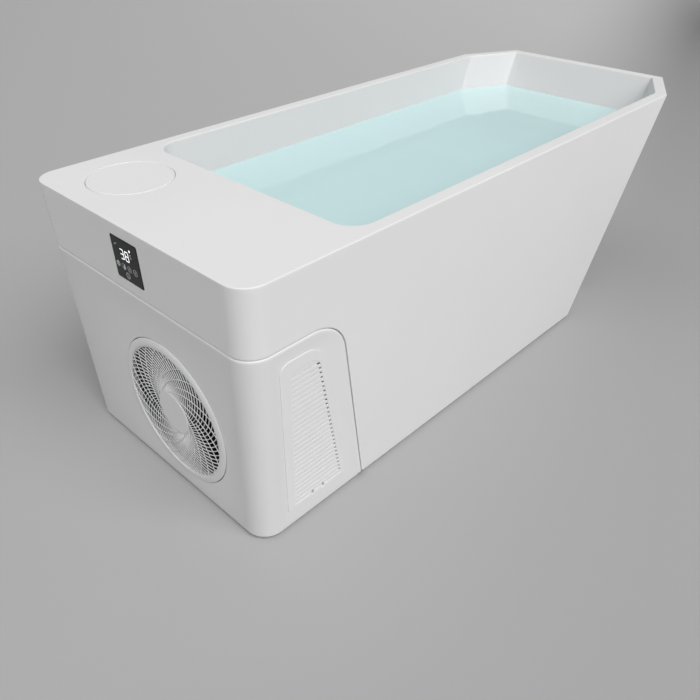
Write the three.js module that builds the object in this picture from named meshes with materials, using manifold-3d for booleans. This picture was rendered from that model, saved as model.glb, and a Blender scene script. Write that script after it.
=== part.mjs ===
// Cold plunge tub with its chiller in a machine bay at one end.
// Millimetres, +Z up, floor at z = 0, origin under the middle of the rim, +X towards the far end.
// The near side is -Y, and the far side is +Y.
import * as THREE from 'three';
import { mergeVertices } from 'three/addons/utils/BufferGeometryUtils.js';
import Module from 'manifold-3d';

const wasm = await Module();
wasm.setup();

// Gap between pieces that seat on each other
const CLEARANCE = 0.3;
// How far a cutting solid runs past what it cuts, and how far joined solids reach into each other
const OVERRUN = 40;
const BITE = 0.5;

// Tub body: the rim, and how far each wall leans in on its way from the rim to the floor
const LENGTH = 1700;
const WIDTH = 700;
const HEIGHT = 620;
const END_LEAN = 9;
const SIDE_LEAN = 24;
const FAR_LEAN = 297;
const CHAMFER_X = 175;
const CHAMFER_Y = 90;
const CORNER_RADIUS = 50;
const RIM_EDGE_RADIUS = 5;
const SKIRT_LIFT = 4;
const SKIN = 6;
const DECK_SKIN = 8;

// Basin
const RIM_WIDTH = 32;
const DECK_LENGTH = 282;
const BASIN_FLOOR = 165;
const BASIN_NEAR_LEAN = 76;
const BASIN_CORNER_RADIUS = 55;
const BASIN_FLOOR_RADIUS = 25;
const BASIN_SKIN = 6;
const FLANGE_WIDTH = 14;
const FLANGE_SKIN = 5;

// Base frame
const FOOT_RADIUS = 25;
const FOOT_PAD = 7;
const FOOT_HEIGHT = 12;
const FOOT_STEM_RADIUS = 6;
const RAIL_SIZE = 30;
const RAIL_SKIN = 2.5;
const RAIL_INSET = 120;
const RAIL_END_GAP = 25;
const RAIL_OVERHANG = 60;
const FOOT_INSET = 30;
const BOARD_SKIN = 12;
const BOARD_INSET = 8;
const POST_RADIUS = 14;
const POST_FLANGE_RADIUS = 24;
const POST_FLANGE_SKIN = 6;
const POST_NEAR_INSET = 80;
const POST_FAR_INSET = 220;

// Machine cover and the seam around it
const SEAM_DROP = 143;
const SEAM_FOOT = 307;
const SEAM_LEAN = 104;
const SEAM_RADIUS = 90;
const SEAM_GAP = 2.5;
const LIP_WIDTH = 16;
const LIP_SKIN = 3;
const TRAY_SKIN = 3;
const TRAY_SETBACK = 21;
const TRAY_GAP = 3;

// Fan grille: vanes and finer ribs, swept opposite ways along arcs whose centres stand off the fan's axis
const FAN_SHIFT = -66;
const FAN_HEIGHT = 217;
const GRILLE_RADIUS = 172;
const BEZEL_WIDTH = 18;
const BEZEL_LAP = 4;
const BEZEL_EDGE = 2;
const BEZEL_CROWN = 13;
const GRILLE_PROUD = 4;
const GRILLE_DEPTH = 12;
const HUB_RADIUS = 50;
const VANE_PAIRS = 12;
const VANE_SKIN = 2;
const VANE_DEPTH = 1.7;
const VANE_ARC = 162;
const VANE_ARC_OFFSET = 116;
const VANE_START = 11;
const SHORT_VANE_RADIUS = 85;
const GUARD_COUNT = 60;
const GUARD_SKIN = 1.6;
const GUARD_DEPTH = 3.5;
const GUARD_RIB_DEPTH = 1.2;
const GUARD_ARC = 112;
const GUARD_ARC_OFFSET = 92;
const GUARD_START = 2;
const GUARD_RING_WIDTH = 2;

// Condenser fan and coil
const FAN_SETBACK = 44;
const FAN_TIP_INSET = 9;
const FAN_TIP_GAP = 4;
const FAN_HUB_RADIUS = 46;
const FAN_HUB_SKIN = 4;
const FAN_HUB_DEPTH = 40;
const FAN_BLADE_COUNT = 7;
const FAN_BLADE_SKIN = 2.5;
const FAN_ROOT_CHORD = 52;
const FAN_TIP_CHORD = 92;
const FAN_ROOT_ANGLE = 46;
const FAN_TIP_ANGLE = 24;
const MOTOR_RADIUS = 37;
const MOTOR_LENGTH = 42;
const MOTOR_SHAFT_RADIUS = 4;
const SHROUD_SKIN = 3;
const SHROUD_ARM_WIDTH = 14;
const COIL_DEPTH = 40;
const COIL_FIN_COUNT = 14;
const COIL_FIN_DEPTH = 9;

// Refrigerant circuit
const COMPRESSOR_SETBACK = 222;
const COMPRESSOR_GAP = 52;
const COMPRESSOR_RADIUS = 55;
const COMPRESSOR_HEIGHT = 205;
const COMPRESSOR_FOOT_RADIUS = 11;
const COMPRESSOR_FOOT_HEIGHT = 12;
const COMPRESSOR_PLATE_SKIN = 4;
const COMPRESSOR_FOOT_SPREAD = 58;
const EXCHANGER_SETBACK = 203;
const EXCHANGER_INSET = 135;
const EXCHANGER_RADIUS = 48;
const EXCHANGER_HEAD = 26;
const EXCHANGER_STUB_RADIUS = 15;
const EXCHANGER_STUB = 10;
const EXCHANGER_PORT = 14;
const DISCHARGE_RADIUS = 5;
const LIQUID_RADIUS = 4;
const SUCTION_RADIUS = 7;

// Water circuit
const LID_SETBACK = 143;
const LID_INSET = 157;
const LID_RADIUS = 91;
const LID_GAP = 1;
const LID_SPIGOT_DEPTH = 14;
const LID_SPIGOT_WALL = 5;
const GASKET_DEPTH = 6;
const GASKET_WIDTH = 4;
const FILTER_RADIUS = 74;
const FILTER_WALL = 4;
const FILTER_LENGTH = 225;
const FILTER_FLANGE = 8;
const CARTRIDGE_RADIUS = 58;
const CARTRIDGE_PLEAT = 9;
const CARTRIDGE_PLEAT_COUNT = 18;
const CARTRIDGE_CORE_RADIUS = 22;
const CARTRIDGE_LENGTH = 172;
const PUMP_SETBACK = 118;
const PUMP_AXIS_HEIGHT = 60;
const PUMP_RADIUS = 50;
const PUMP_DEPTH = 46;
const PUMP_OUTLET_SHIFT = -36;
const PUMP_MOTOR_RADIUS = 44;
const PUMP_MOTOR_LENGTH = 108;
const PUMP_MOTOR_FINS = 8;
const PUMP_FIN_HEIGHT = 4;
const PIPE_RADIUS = 15;
const PIPE_BEND = 34;
const STUB_WALL = 4;
const STUB_LENGTH = 16;
const FITTING_RADIUS = 34;
const FITTING_SKIN = 4;
const FITTING_REACH = 30;
const COUPLING = 12;
const SUCTION_DROP = 205;
const RETURN_RISE = 90;
const PIPE_RUN_RISE = 28;
const FEED_PIPE_SETBACK = 72;
const DRAIN_INSET = 105;
const DRAIN_FLANGE_RADIUS = 36;
const DRAIN_FLANGE_SKIN = 3;
const DRAIN_RADIUS = 22;
const DRAIN_WALL = 5;
const DRAIN_REACH = 24;
const DRAIN_PIPE_DROP = 34;
const DRAIN_PIPE_SHIFT = 64;
const DRAIN_PIPE_END = 268;
const DRAIN_CAP_LENGTH = 22;
const PLUG_RADIUS = 30;
const PLUG_SKIN = 4;
const PLUG_STEM_RADIUS = 5;
const PLUG_STEM = 22;

// Vent panels: a raised plate with a louvred field, drawn on the side wall
const VENT_FOOT = 48;
const VENT_DROP = 177;
const VENT_LEFT_FOOT = 78;
const VENT_LEFT_TOP = 68;
const VENT_RIGHT_FOOT = 246;
const VENT_RIGHT_TOP = 171;
const VENT_CORNER_RADIUS = 24;
const VENT_HEEL_RADIUS = 12;
const VENT_SHOULDER_RADIUS = 45;
const VENT_PROUD = 2.5;
const VENT_LAP = 6;
const VENT_DEPTH = 9;
const LOUVRE_LEFT_MARGIN = 25;
const LOUVRE_RIGHT_MARGIN = 11;
const LOUVRE_TOP_MARGIN = 28;
const LOUVRE_FOOT_MARGIN = 16;
const LOUVRE_COUNT = 28;
const LOUVRE_SLOT = 5.5;
const LOUVRE_RISE = 8;
const LATCH_WIDTH = 34;
const LATCH_SLIT = 5;
const LATCH_HEIGHT = 11;
const SCREEN_SKIN = 3;
const SCREEN_FRAME = 8;
const SCREEN_BAR = 4;
const SCREEN_ROWS = 6;

// Controls
const DISPLAY_SIZE = 90;
const DISPLAY_DROP = 72;
const DISPLAY_CORNER_RADIUS = 4;
const GLASS_SKIN = 3;
const GLASS_PROUD = 0.7;
const DISPLAY_LEDGE = 5;
const BOARD_MARGIN = 2;
const CIRCUIT_SKIN = 1.6;
const HOUSING_DEPTH = 20;
const HOUSING_WALL = 3;
const CONTROL_SETBACK = 60;
const CONTROL_LENGTH = 150;
const CONTROL_INSET = 120;
const CONTROL_GAP = 33;
const CONTROL_HEIGHT = 100;
const CONTROL_RADIUS = 8;
const CONTROL_LID_STEP = 3;
const GLAND_RADIUS = 14;
const GLAND_BORE = 5;
const GLAND_REACH = 12;
const GLAND_HEIGHT = 60;
const GLAND_SETBACK = 367;

// Smoothness of curves
const CORNER_STEPS = 4;
const FILLET_STEPS = 3;
const FLOOR_STEPS = 2;
const BEND_STEPS = 2;
const SMALL_SIDES = 8;
const ROUND_SIDES = 14;
const LID_SIDES = 24;
const RING_SIDES = 32;
const PIPE_SIDES = 8;
const VANE_STEPS = 4;
const SHORT_VANE_STEPS = 2;
const GUARD_STEPS = 2;
const CROWN_STEPS = 3;

// Levels and planes worked out from the sizes above
const machineX = -LENGTH / 2;
const deckUnderside = HEIGHT - DECK_SKIN;
const basinTop = deckUnderside - CLEARANCE;
const seamHeight = HEIGHT - SEAM_DROP;
const railBottom = FOOT_HEIGHT + CLEARANCE;
const railTop = railBottom + RAIL_SIZE;
const trayTop = railTop + CLEARANCE + TRAY_SKIN;
const seatHeight = trayTop + CLEARANCE;
const boardTop = BASIN_FLOOR - BASIN_SKIN - CLEARANCE;
const boardBottom = boardTop - BOARD_SKIN;
const chamferAngle = Math.atan2(CHAMFER_Y, CHAMFER_X);
const endTilt = Math.atan2(END_LEAN, HEIGHT - RIM_EDGE_RADIUS);
const sideTilt = Math.atan2(SIDE_LEAN, HEIGHT - RIM_EDGE_RADIUS);
const nearTilt = Math.atan2(BASIN_NEAR_LEAN, HEIGHT - BASIN_FLOOR);
const fromMachineEnd = (setback) => machineX + setback;

// Where each wall's outer face stands at height z; the rim's full size is where its edge rounding starts
const edgeHeight = HEIGHT - RIM_EDGE_RADIUS;
const endX = (z) => machineX + END_LEAN * (1 - z / edgeHeight);
const sideY = (z) => WIDTH / 2 - SIDE_LEAN * (1 - z / edgeHeight);
const farX = (z) => LENGTH / 2 - FAR_LEAN * (1 - z / edgeHeight);
const basinNearX = (z) => machineX + DECK_LENGTH + Math.tan(nearTilt) * (HEIGHT - z);

// A closed geometry as a solid, with its faces turned outwards.
function solid(geometry) {
  const bare = geometry.index ? geometry.toNonIndexed() : geometry.clone();
  bare.deleteAttribute('normal');
  bare.deleteAttribute('uv');
  const merged = mergeVertices(bare, 1e-4);
  const position = merged.getAttribute('position');
  const corner = [new THREE.Vector3(), new THREE.Vector3(), new THREE.Vector3()];
  const kept = [];
  let volume = 0;
  for (let i = 0; i < merged.index.count; i += 3) {
    const [a, b, c] = merged.index.array.slice(i, i + 3);
    if (a === b || b === c || c === a) continue;
    corner.forEach((p, k) => p.fromBufferAttribute(position, [a, b, c][k]));
    volume += corner[0].dot(corner[1].cross(corner[2]));
    kept.push(a, b, c);
  }
  if (volume < 0) kept.reverse();
  return new wasm.Manifold(new wasm.Mesh({
    numProp: 3,
    vertProperties: position.array,
    triVerts: new Uint32Array(kept),
  }));
}

// A solid's faces as a geometry.
function faces(shape) {
  const { numProp, numVert, vertProperties, triVerts } = shape.getMesh();
  const xyz = new Float32Array(numVert * 3);
  for (let i = 0; i < numVert; i += 1) {
    xyz.set(vertProperties.subarray(i * numProp, i * numProp + 3), i * 3);
  }
  const geometry = new THREE.BufferGeometry();
  geometry.setAttribute('position', new THREE.BufferAttribute(xyz, 3));
  geometry.setIndex(new THREE.BufferAttribute(triVerts, 1));
  return geometry;
}

const join = (...shapes) => shapes.reduce((sum, shape) => sum.add(shape));
const cut = (body, ...tools) => tools.reduce((rest, tool) => rest.subtract(tool), body);
const moved = (shape, x, y, z) => solid(faces(shape).translate(x, y, z));
const mirroredY = (shape) => solid(faces(shape).scale(1, -1, 1));

// A solid through closed rings of equal count, each ring convex.
function loft(rings) {
  const count = rings[0].length;
  const last = (rings.length - 1) * count;
  const index = [];
  for (let i = 0; i < last; i += count) {
    for (let j = 0; j < count; j += 1) {
      const a = i + j;
      const b = i + ((j + 1) % count);
      index.push(a, b, b + count, a, b + count, a + count);
    }
  }
  for (let j = 1; j + 1 < count; j += 1) {
    index.push(0, j + 1, j, last, last + j, last + j + 1);
  }
  const geometry = new THREE.BufferGeometry();
  geometry.setFromPoints(rings.flat());
  geometry.setIndex(index);
  return solid(geometry);
}

// Bases that lay a drawing's x, y and depth along the part's axes
const ALONG_X = new THREE.Matrix4().makeBasis(
  new THREE.Vector3(0, 1, 0), new THREE.Vector3(0, 0, 1), new THREE.Vector3(1, 0, 0));
const ALONG_Y = new THREE.Matrix4().makeBasis(
  new THREE.Vector3(1, 0, 0), new THREE.Vector3(0, 0, 1), new THREE.Vector3(0, -1, 0));
const ALONG_Z = new THREE.Matrix4();

// A drawn outline, with any holes, extruded from one depth to another along a basis.
function prism(points, from, to, basis = ALONG_Z, holes = []) {
  const shape = new THREE.Shape(points);
  shape.holes = holes.map((hole) => new THREE.Path(hole));
  const geometry = new THREE.ExtrudeGeometry(shape, { depth: to - from, bevelEnabled: false });
  return solid(geometry.translate(0, 0, from).applyMatrix4(basis));
}

// A profile of [radius, height] pairs turned about an axis.
function turned(profile, sides, basis = ALONG_Z) {
  const points = profile.map(([radius, height]) => new THREE.Vector2(radius, height));
  const geometry = new THREE.LatheGeometry(points, sides);
  return solid(geometry.rotateX(Math.PI / 2).applyMatrix4(basis));
}

const rod = (radius, from, to, sides, basis) =>
  turned([[0, from], [radius, from], [radius, to], [0, to]], sides, basis);
const tube = (inner, outer, from, to, sides, basis) =>
  turned([[inner, from], [outer, from], [outer, to], [inner, to], [inner, from]], sides, basis);

// Points around a circle.
function circle(radius, sides, x = 0, y = 0) {
  return Array.from({ length: sides }, (_, i) => {
    const angle = (i / sides) * 2 * Math.PI;
    return new THREE.Vector2(x + radius * Math.cos(angle), y + radius * Math.sin(angle));
  });
}

// A convex outline moved inwards by a distance.
function inset(points, distance) {
  const count = points.length;
  return points.map((point, i) => {
    const before = point.clone().sub(points[(i + count - 1) % count]).normalize();
    const after = points[(i + 1) % count].clone().sub(point).normalize();
    const bisector = after.clone().sub(before).normalize();
    const halfAngle = Math.acos(THREE.MathUtils.clamp(-before.dot(after), -1, 1)) / 2;
    return point.clone().addScaledVector(bisector, distance / Math.sin(halfAngle));
  });
}

// An outline with a radius at each corner, a zero radius leaving it sharp.
function rounded(points, radii, steps) {
  const count = points.length;
  return points.flatMap((point, i) => {
    if (radii[i] <= 0) return [point];
    const back = points[(i + count - 1) % count].clone().sub(point).normalize();
    const ahead = points[(i + 1) % count].clone().sub(point).normalize();
    const halfAngle = Math.acos(back.dot(ahead)) / 2;
    const bisector = back.clone().add(ahead).normalize();
    const centre = point.clone().addScaledVector(bisector, radii[i] / Math.sin(halfAngle));
    const start = point.clone().addScaledVector(back, radii[i] / Math.tan(halfAngle)).sub(centre);
    const sweep = Math.sign(back.cross(ahead)) * (2 * halfAngle - Math.PI);
    return Array.from({ length: steps + 1 }, (_, k) =>
      start.clone().rotateAround(new THREE.Vector2(), (-sweep * -k) / steps).add(centre));
  });
}

// A rectangle's corners, anticlockwise.
function rectangle(left, bottom, right, top) {
  return [[left, bottom], [right, bottom], [right, top], [left, top]].map(
    ([x, y]) => new THREE.Vector2(x, y));
}

// A square with rounded corners about the origin.
function roundedSquare(size, radius) {
  const corners = rectangle(-size / 2, -size / 2, size / 2, size / 2);
  return rounded(corners, [radius, radius, radius, radius], FILLET_STEPS);
}

// A path through given stations, straight between them.
class StationPath extends THREE.Curve {
  constructor(stations) {
    super();
    this.stations = stations;
  }

  getPointAt(share, target = new THREE.Vector3()) {
    return target.copy(this.stations[Math.round(share * (this.stations.length - 1))]);
  }

  getTangentAt(share, target = new THREE.Vector3()) {
    const last = this.stations.length - 1;
    const i = Math.round(share * last);
    const ahead = this.stations[Math.min(i + 1, last)];
    return target.copy(ahead).sub(this.stations[Math.max(i - 1, 0)]).normalize();
  }
}

// A round bar along straight runs, with each corner bent.
function pipe(points, radius, bend) {
  const stations = [points[0]];
  for (let i = 1; i + 1 < points.length; i += 1) {
    const corner = points[i];
    const back = points[i - 1].clone().sub(corner);
    const ahead = points[i + 1].clone().sub(corner);
    const reach = Math.min(bend, back.length() * 0.45, ahead.length() * 0.45);
    const start = corner.clone().addScaledVector(back.normalize(), reach);
    const end = corner.clone().addScaledVector(ahead.normalize(), reach);
    stations.push(...new THREE.QuadraticBezierCurve3(start, corner, end).getPoints(BEND_STEPS));
  }
  stations.push(points[points.length - 1]);
  const section = new THREE.Shape(circle(radius, PIPE_SIDES));
  const extrudePath = new StationPath(stations);
  return solid(new THREE.ExtrudeGeometry(section, { steps: stations.length - 1, extrudePath }));
}

const at = (x, y, z) => new THREE.Vector3(x, y, z);

// The parts and the groups that hold them
const tub = new THREE.Group();

function add(parent, name, shape, { color, roughness = 0.4, metalness = 0 }) {
  const material = new THREE.MeshStandardMaterial({ color, roughness, metalness, flatShading: true });
  const mesh = new THREE.Mesh(faces(shape), material);
  mesh.name = name;
  parent.add(mesh);
  return mesh;
}

// A group whose x points right, y up the wall and z out of it, for one who faces the wall.
function wallGroup(parent, position, right, up) {
  const group = new THREE.Group();
  const out = right.clone().cross(up);
  group.quaternion.setFromRotationMatrix(new THREE.Matrix4().makeBasis(right, up, out));
  group.position.copy(position);
  parent.add(group);
  return group;
}

// A shape or a point drawn in a group's frame, placed in the tub's frame.
function inGroup(group, shape) {
  group.updateMatrixWorld(true);
  return solid(faces(shape).applyMatrix4(group.matrixWorld));
}

function inGroupPoint(group, point) {
  group.updateMatrixWorld(true);
  return point.applyMatrix4(group.matrixWorld);
}

const WHITE_SHELL = { color: 0xf2f2f1, roughness: 0.32 };
const WHITE_COVER = { color: 0xededec, roughness: 0.38 };
const DARK_GLASS = { color: 0x17181a, roughness: 0.12 };
const STEEL = { color: 0x9b9fa3, roughness: 0.42, metalness: 0.8 };
const BLACK_STEEL = { color: 0x1d1e20, roughness: 0.45, metalness: 0.3 };
const ALUMINIUM = { color: 0xb9bcbf, roughness: 0.5, metalness: 0.8 };
const COPPER = { color: 0xb87045, roughness: 0.35, metalness: 0.9 };
const RUBBER = { color: 0x232323, roughness: 0.8 };
const PVC = { color: 0xd6d8d8, roughness: 0.45 };
const BLACK_PLASTIC = { color: 0x25272a, roughness: 0.55 };
const CHROME = { color: 0xd8dadc, roughness: 0.12, metalness: 1 };
const PLYWOOD = { color: 0xb08d5f, roughness: 0.75 };
const PAPER = { color: 0xdde6ea, roughness: 0.85 };
const CIRCUIT = { color: 0x1f5a3c, roughness: 0.5 };

// The body's outline at height z, moved in by a distance: far end, far side, machine end, near side.
function outline(z, moveIn, nearX, cornerRadius) {
  const half = sideY(z) - moveIn;
  const far = farX(z) - moveIn;
  const sideCorner = farX(z) - CHAMFER_X - moveIn * Math.tan(chamferAngle / 2);
  const endCorner = sideY(z) - CHAMFER_Y - moveIn * Math.tan(Math.PI / 4 - chamferAngle / 2);
  const near = nearX + moveIn;
  const radius = cornerRadius - moveIn;
  const corners = [
    new THREE.Vector2(far, -endCorner),
    new THREE.Vector2(far, endCorner),
    new THREE.Vector2(sideCorner, half),
    new THREE.Vector2(near, half),
    new THREE.Vector2(near, -half),
    new THREE.Vector2(sideCorner, -half),
  ];
  return rounded(corners, [0, 0, 0, radius, radius, 0], CORNER_STEPS).map((p) => at(p.x, p.y, z));
}

const bodyRing = (z, moveIn) => outline(z, moveIn, endX(z), CORNER_RADIUS);

// The basin's inner outline keeps the rim's width all round, and its near end follows the deck.
function basinRing(z, moveIn) {
  const shift = RIM_WIDTH + moveIn;
  return outline(z, shift, basinNearX(z) - RIM_WIDTH, BASIN_CORNER_RADIUS + RIM_WIDTH);
}

// Outer form of shell and cover, its rim edge rounded
function bodyForm() {
  const rings = [bodyRing(SKIRT_LIFT, 0)];
  for (let i = 0; i <= FILLET_STEPS; i += 1) {
    const angle = (i / FILLET_STEPS) * (Math.PI / 2);
    const z = HEIGHT - RIM_EDGE_RADIUS * (1 - Math.sin(angle));
    rings.push(bodyRing(z, RIM_EDGE_RADIUS * (1 - Math.cos(angle))));
  }
  return loft(rings);
}

const bodyCore = (moveIn, bottom) => loft([bodyRing(bottom, moveIn), bodyRing(deckUnderside, moveIn)]);

// Everything on the machine side of the seam, drawn in side view and moved in by a distance.
function seamRegion(moveIn) {
  const slope = SEAM_LEAN / HEIGHT;
  const seamX = (z) => fromMachineEnd(SEAM_FOOT) - slope * z;
  const corners = [
    new THREE.Vector2(machineX - OVERRUN, -OVERRUN),
    new THREE.Vector2(seamX(-OVERRUN), -OVERRUN),
    new THREE.Vector2(seamX(seamHeight), seamHeight),
    new THREE.Vector2(machineX - OVERRUN, seamHeight),
  ];
  const points = rounded(inset(corners, moveIn), [0, 0, SEAM_RADIUS - moveIn, 0], CORNER_STEPS);
  return prism(points, -WIDTH / 2 - OVERRUN, WIDTH / 2 + OVERRUN, ALONG_Y);
}

const skin = bodyForm().subtract(bodyCore(SKIN, SKIRT_LIFT - BITE));

// Frames on the machine end: the fan's place and the display's place
const endRight = at(0, -1, 0);
const endUp = at(-Math.sin(endTilt), 0, Math.cos(endTilt));
const endPlace = (y, z) => at(endX(z), y, z);
const onEnd = (shape, y, z) =>
  inGroup(wallGroup(new THREE.Group(), endPlace(y, z), endRight, endUp), shape);

// Tub shell: skirt, deck and rim in one moulding, with a lip behind the seam that the cover seats on
const lidX = fromMachineEnd(LID_SETBACK);
const lidY = WIDTH / 2 - LID_INSET;
const displayHeight = HEIGHT - DISPLAY_DROP;
const glandGroup = wallGroup(
  tub,
  at(fromMachineEnd(GLAND_SETBACK), sideY(GLAND_HEIGHT), GLAND_HEIGHT),
  at(-1, 0, 0),
  at(0, Math.sin(sideTilt), Math.cos(sideTilt)),
);

function tubShell() {
  const opening = loft([basinRing(deckUnderside - BITE, 0), basinRing(HEIGHT + BITE, 0)]);
  const lidHole = moved(
    rod(LID_RADIUS + LID_GAP, deckUnderside - BITE, HEIGHT + BITE, LID_SIDES), lidX, lidY, 0);
  const pocketDepth = GLASS_SKIN - GLASS_PROUD + CLEARANCE;
  const pocket = prism(
    roundedSquare(DISPLAY_SIZE + 2 * CLEARANCE, DISPLAY_CORNER_RADIUS), -pocketDepth, OVERRUN);
  const window = prism(
    roundedSquare(DISPLAY_SIZE - 2 * DISPLAY_LEDGE, DISPLAY_CORNER_RADIUS), -SKIN - BITE, OVERRUN);
  const glandHole = rod(GLAND_RADIUS - STUB_WALL + CLEARANCE, -OVERRUN, OVERRUN, SMALL_SIDES);
  const lipTop = SKIN + CLEARANCE;
  const lipBottom = lipTop + LIP_SKIN;
  const lipRing = bodyCore(lipTop, SKIRT_LIFT).subtract(bodyCore(lipBottom, SKIRT_LIFT - BITE));
  const lipBand = seamRegion(-LIP_WIDTH).subtract(seamRegion(SEAM_GAP + LIP_WIDTH));
  const rootRing = bodyCore(SKIN - BITE, SKIRT_LIFT).subtract(bodyCore(lipBottom, SKIRT_LIFT - BITE));
  const rootBand = seamRegion(-LIP_WIDTH).subtract(seamRegion(-BITE));
  const lip = join(lipRing.intersect(lipBand), rootRing.intersect(rootBand));
  const walls = cut(skin, seamRegion(0), opening, lidHole);
  const windows = join(pocket, window);
  return cut(join(walls, lip), onEnd(windows, 0, displayHeight), inGroup(glandGroup, glandHole));
}

add(tub, 'tub_shell', tubShell(), WHITE_SHELL);

// Basin: sloped walls, rounded floor edge and a flange under the deck, with holes for its fittings
const drainX = basinNearX(BASIN_FLOOR) + BASIN_FLOOR_RADIUS + DRAIN_INSET;

function basinForm(grow, top) {
  const rings = [];
  for (let i = 0; i <= FLOOR_STEPS; i += 1) {
    const angle = (i / FLOOR_STEPS) * (Math.PI / 2);
    const radius = BASIN_FLOOR_RADIUS + grow;
    const z = BASIN_FLOOR + BASIN_FLOOR_RADIUS - radius * Math.cos(angle);
    rings.push(basinRing(z, BASIN_FLOOR_RADIUS - radius * Math.sin(angle)));
  }
  rings.push(basinRing(top, -grow));
  return loft(rings);
}

// A wall fitting's frame: z points into the basin, square to the machine-end wall.
function fittingGroup(y, z) {
  const up = at(-Math.sin(nearTilt), 0, Math.cos(nearTilt));
  return wallGroup(tub, at(basinNearX(z), y, z), at(0, 1, 0), up);
}

const exchangerY = EXCHANGER_INSET - WIDTH / 2;
const suctionGroup = fittingGroup(lidY, HEIGHT - SUCTION_DROP);
const returnGroup = fittingGroup(exchangerY, BASIN_FLOOR + RETURN_RISE);

const nippleRadius = PIPE_RADIUS;
const fittingHole = () =>
  rod(nippleRadius + CLEARANCE, -BASIN_SKIN - OVERRUN, OVERRUN, ROUND_SIDES);

function basin() {
  const flange = loft([
    basinRing(basinTop - FLANGE_SKIN, -FLANGE_WIDTH),
    basinRing(basinTop, -FLANGE_WIDTH),
  ]);
  const drainHole = moved(
    rod(DRAIN_RADIUS + CLEARANCE, boardBottom - OVERRUN, BASIN_FLOOR + BITE, ROUND_SIDES), drainX, 0, 0);
  return cut(
    join(basinForm(BASIN_SKIN, basinTop), flange),
    basinForm(0, HEIGHT + BITE),
    drainHole,
    inGroup(suctionGroup, fittingHole()),
    inGroup(returnGroup, fittingHole()),
  );
}

add(tub, 'basin', basin(), WHITE_SHELL);

// Wall fittings: a flange inside the basin and a nipple through its wall
function wallFitting() {
  const back = CLEARANCE;
  const front = back + FITTING_SKIN;
  const end = -BASIN_SKIN - FITTING_REACH;
  const bore = nippleRadius - STUB_WALL;
  return turned([
    [bore, end],
    [nippleRadius, end],
    [nippleRadius, back],
    [FITTING_RADIUS, back],
    [FITTING_RADIUS, front - FITTING_SKIN / 2],
    [FITTING_RADIUS - FITTING_SKIN, front],
    [bore, front],
    [bore, end],
  ], ROUND_SIDES);
}

add(suctionGroup, 'suction_fitting', wallFitting(), CHROME);
add(returnGroup, 'return_fitting', wallFitting(), CHROME);

// Drain: a flanged body through the floor and board, a rising plug, a pipe to the bay and its cap
const drainEnd = boardBottom - DRAIN_REACH;
const drainTop = BASIN_FLOOR + CLEARANCE + DRAIN_FLANGE_SKIN;
const drainGroup = new THREE.Group();
drainGroup.position.set(drainX, 0, 0);
tub.add(drainGroup);

const drainBore = DRAIN_RADIUS - DRAIN_WALL;
add(drainGroup, 'drain_body', turned([
  [drainBore, drainEnd],
  [DRAIN_RADIUS, drainEnd],
  [DRAIN_RADIUS, BASIN_FLOOR + CLEARANCE],
  [DRAIN_FLANGE_RADIUS, BASIN_FLOOR + CLEARANCE],
  [DRAIN_FLANGE_RADIUS - DRAIN_FLANGE_SKIN / 2, drainTop],
  [drainBore, drainTop],
  [drainBore, drainEnd],
], ROUND_SIDES), CHROME);

const plugSeat = drainTop + CLEARANCE;
add(drainGroup, 'drain_plug', turned([
  [0, plugSeat - PLUG_STEM],
  [PLUG_STEM_RADIUS, plugSeat - PLUG_STEM],
  [PLUG_STEM_RADIUS, plugSeat],
  [PLUG_RADIUS, plugSeat],
  [PLUG_RADIUS - PLUG_SKIN / 2, plugSeat + PLUG_SKIN],
  [0, plugSeat + PLUG_SKIN],
], ROUND_SIDES), CHROME);

const drainPipeZ = drainEnd - CLEARANCE - DRAIN_PIPE_DROP;
const drainPipeEndX = fromMachineEnd(DRAIN_PIPE_END);
add(tub, 'drain_pipe', pipe([
  at(drainX, 0, drainEnd - CLEARANCE),
  at(drainX, 0, drainPipeZ),
  at(drainX - DRAIN_PIPE_SHIFT, DRAIN_PIPE_SHIFT, drainPipeZ),
  at(drainPipeEndX, DRAIN_PIPE_SHIFT, drainPipeZ),
], DRAIN_RADIUS - CLEARANCE, PIPE_BEND), PVC);

const capGroup = new THREE.Group();
capGroup.position.set(drainPipeEndX, DRAIN_PIPE_SHIFT, drainPipeZ);
tub.add(capGroup);
add(capGroup, 'drain_cap', turned([
  [0, -CLEARANCE],
  [DRAIN_RADIUS + DRAIN_WALL, -CLEARANCE],
  [DRAIN_RADIUS + DRAIN_WALL, DRAIN_WALL - DRAIN_CAP_LENGTH],
  [DRAIN_RADIUS, -DRAIN_CAP_LENGTH],
  [0, -DRAIN_CAP_LENGTH],
], ROUND_SIDES, ALONG_X), BLACK_PLASTIC);

// Base frame: two rails, two cross tubes, four posts, four feet and the board under the basin
const boardRing = (z) => basinRing(BASIN_FLOOR, BASIN_FLOOR_RADIUS + BOARD_INSET).map((p) => at(p.x, p.y, z));
const boardNearX = basinNearX(BASIN_FLOOR) + BASIN_FLOOR_RADIUS + BOARD_INSET;
const boardFarX = farX(BASIN_FLOOR) - RIM_WIDTH - BASIN_FLOOR_RADIUS - BOARD_INSET;
const postXs = [boardNearX + POST_NEAR_INSET, boardFarX - POST_FAR_INSET];
const railY = WIDTH / 2 - RAIL_INSET;
const railStart = endX(0) + SKIN + RAIL_END_GAP;
const railEnd = postXs[1] + RAIL_OVERHANG;
const railSection = () => rectangle(-RAIL_SIZE / 2, -RAIL_SIZE / 2, RAIL_SIZE / 2, RAIL_SIZE / 2);
const railBore = () => inset(railSection(), RAIL_SKIN);

add(tub, 'basin_baseboard', cut(
  loft([boardRing(boardBottom), boardRing(boardTop)]),
  moved(rod(DRAIN_RADIUS + CLEARANCE, boardBottom - BITE, boardTop + BITE, ROUND_SIDES), drainX, 0, 0),
), PLYWOOD);

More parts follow.
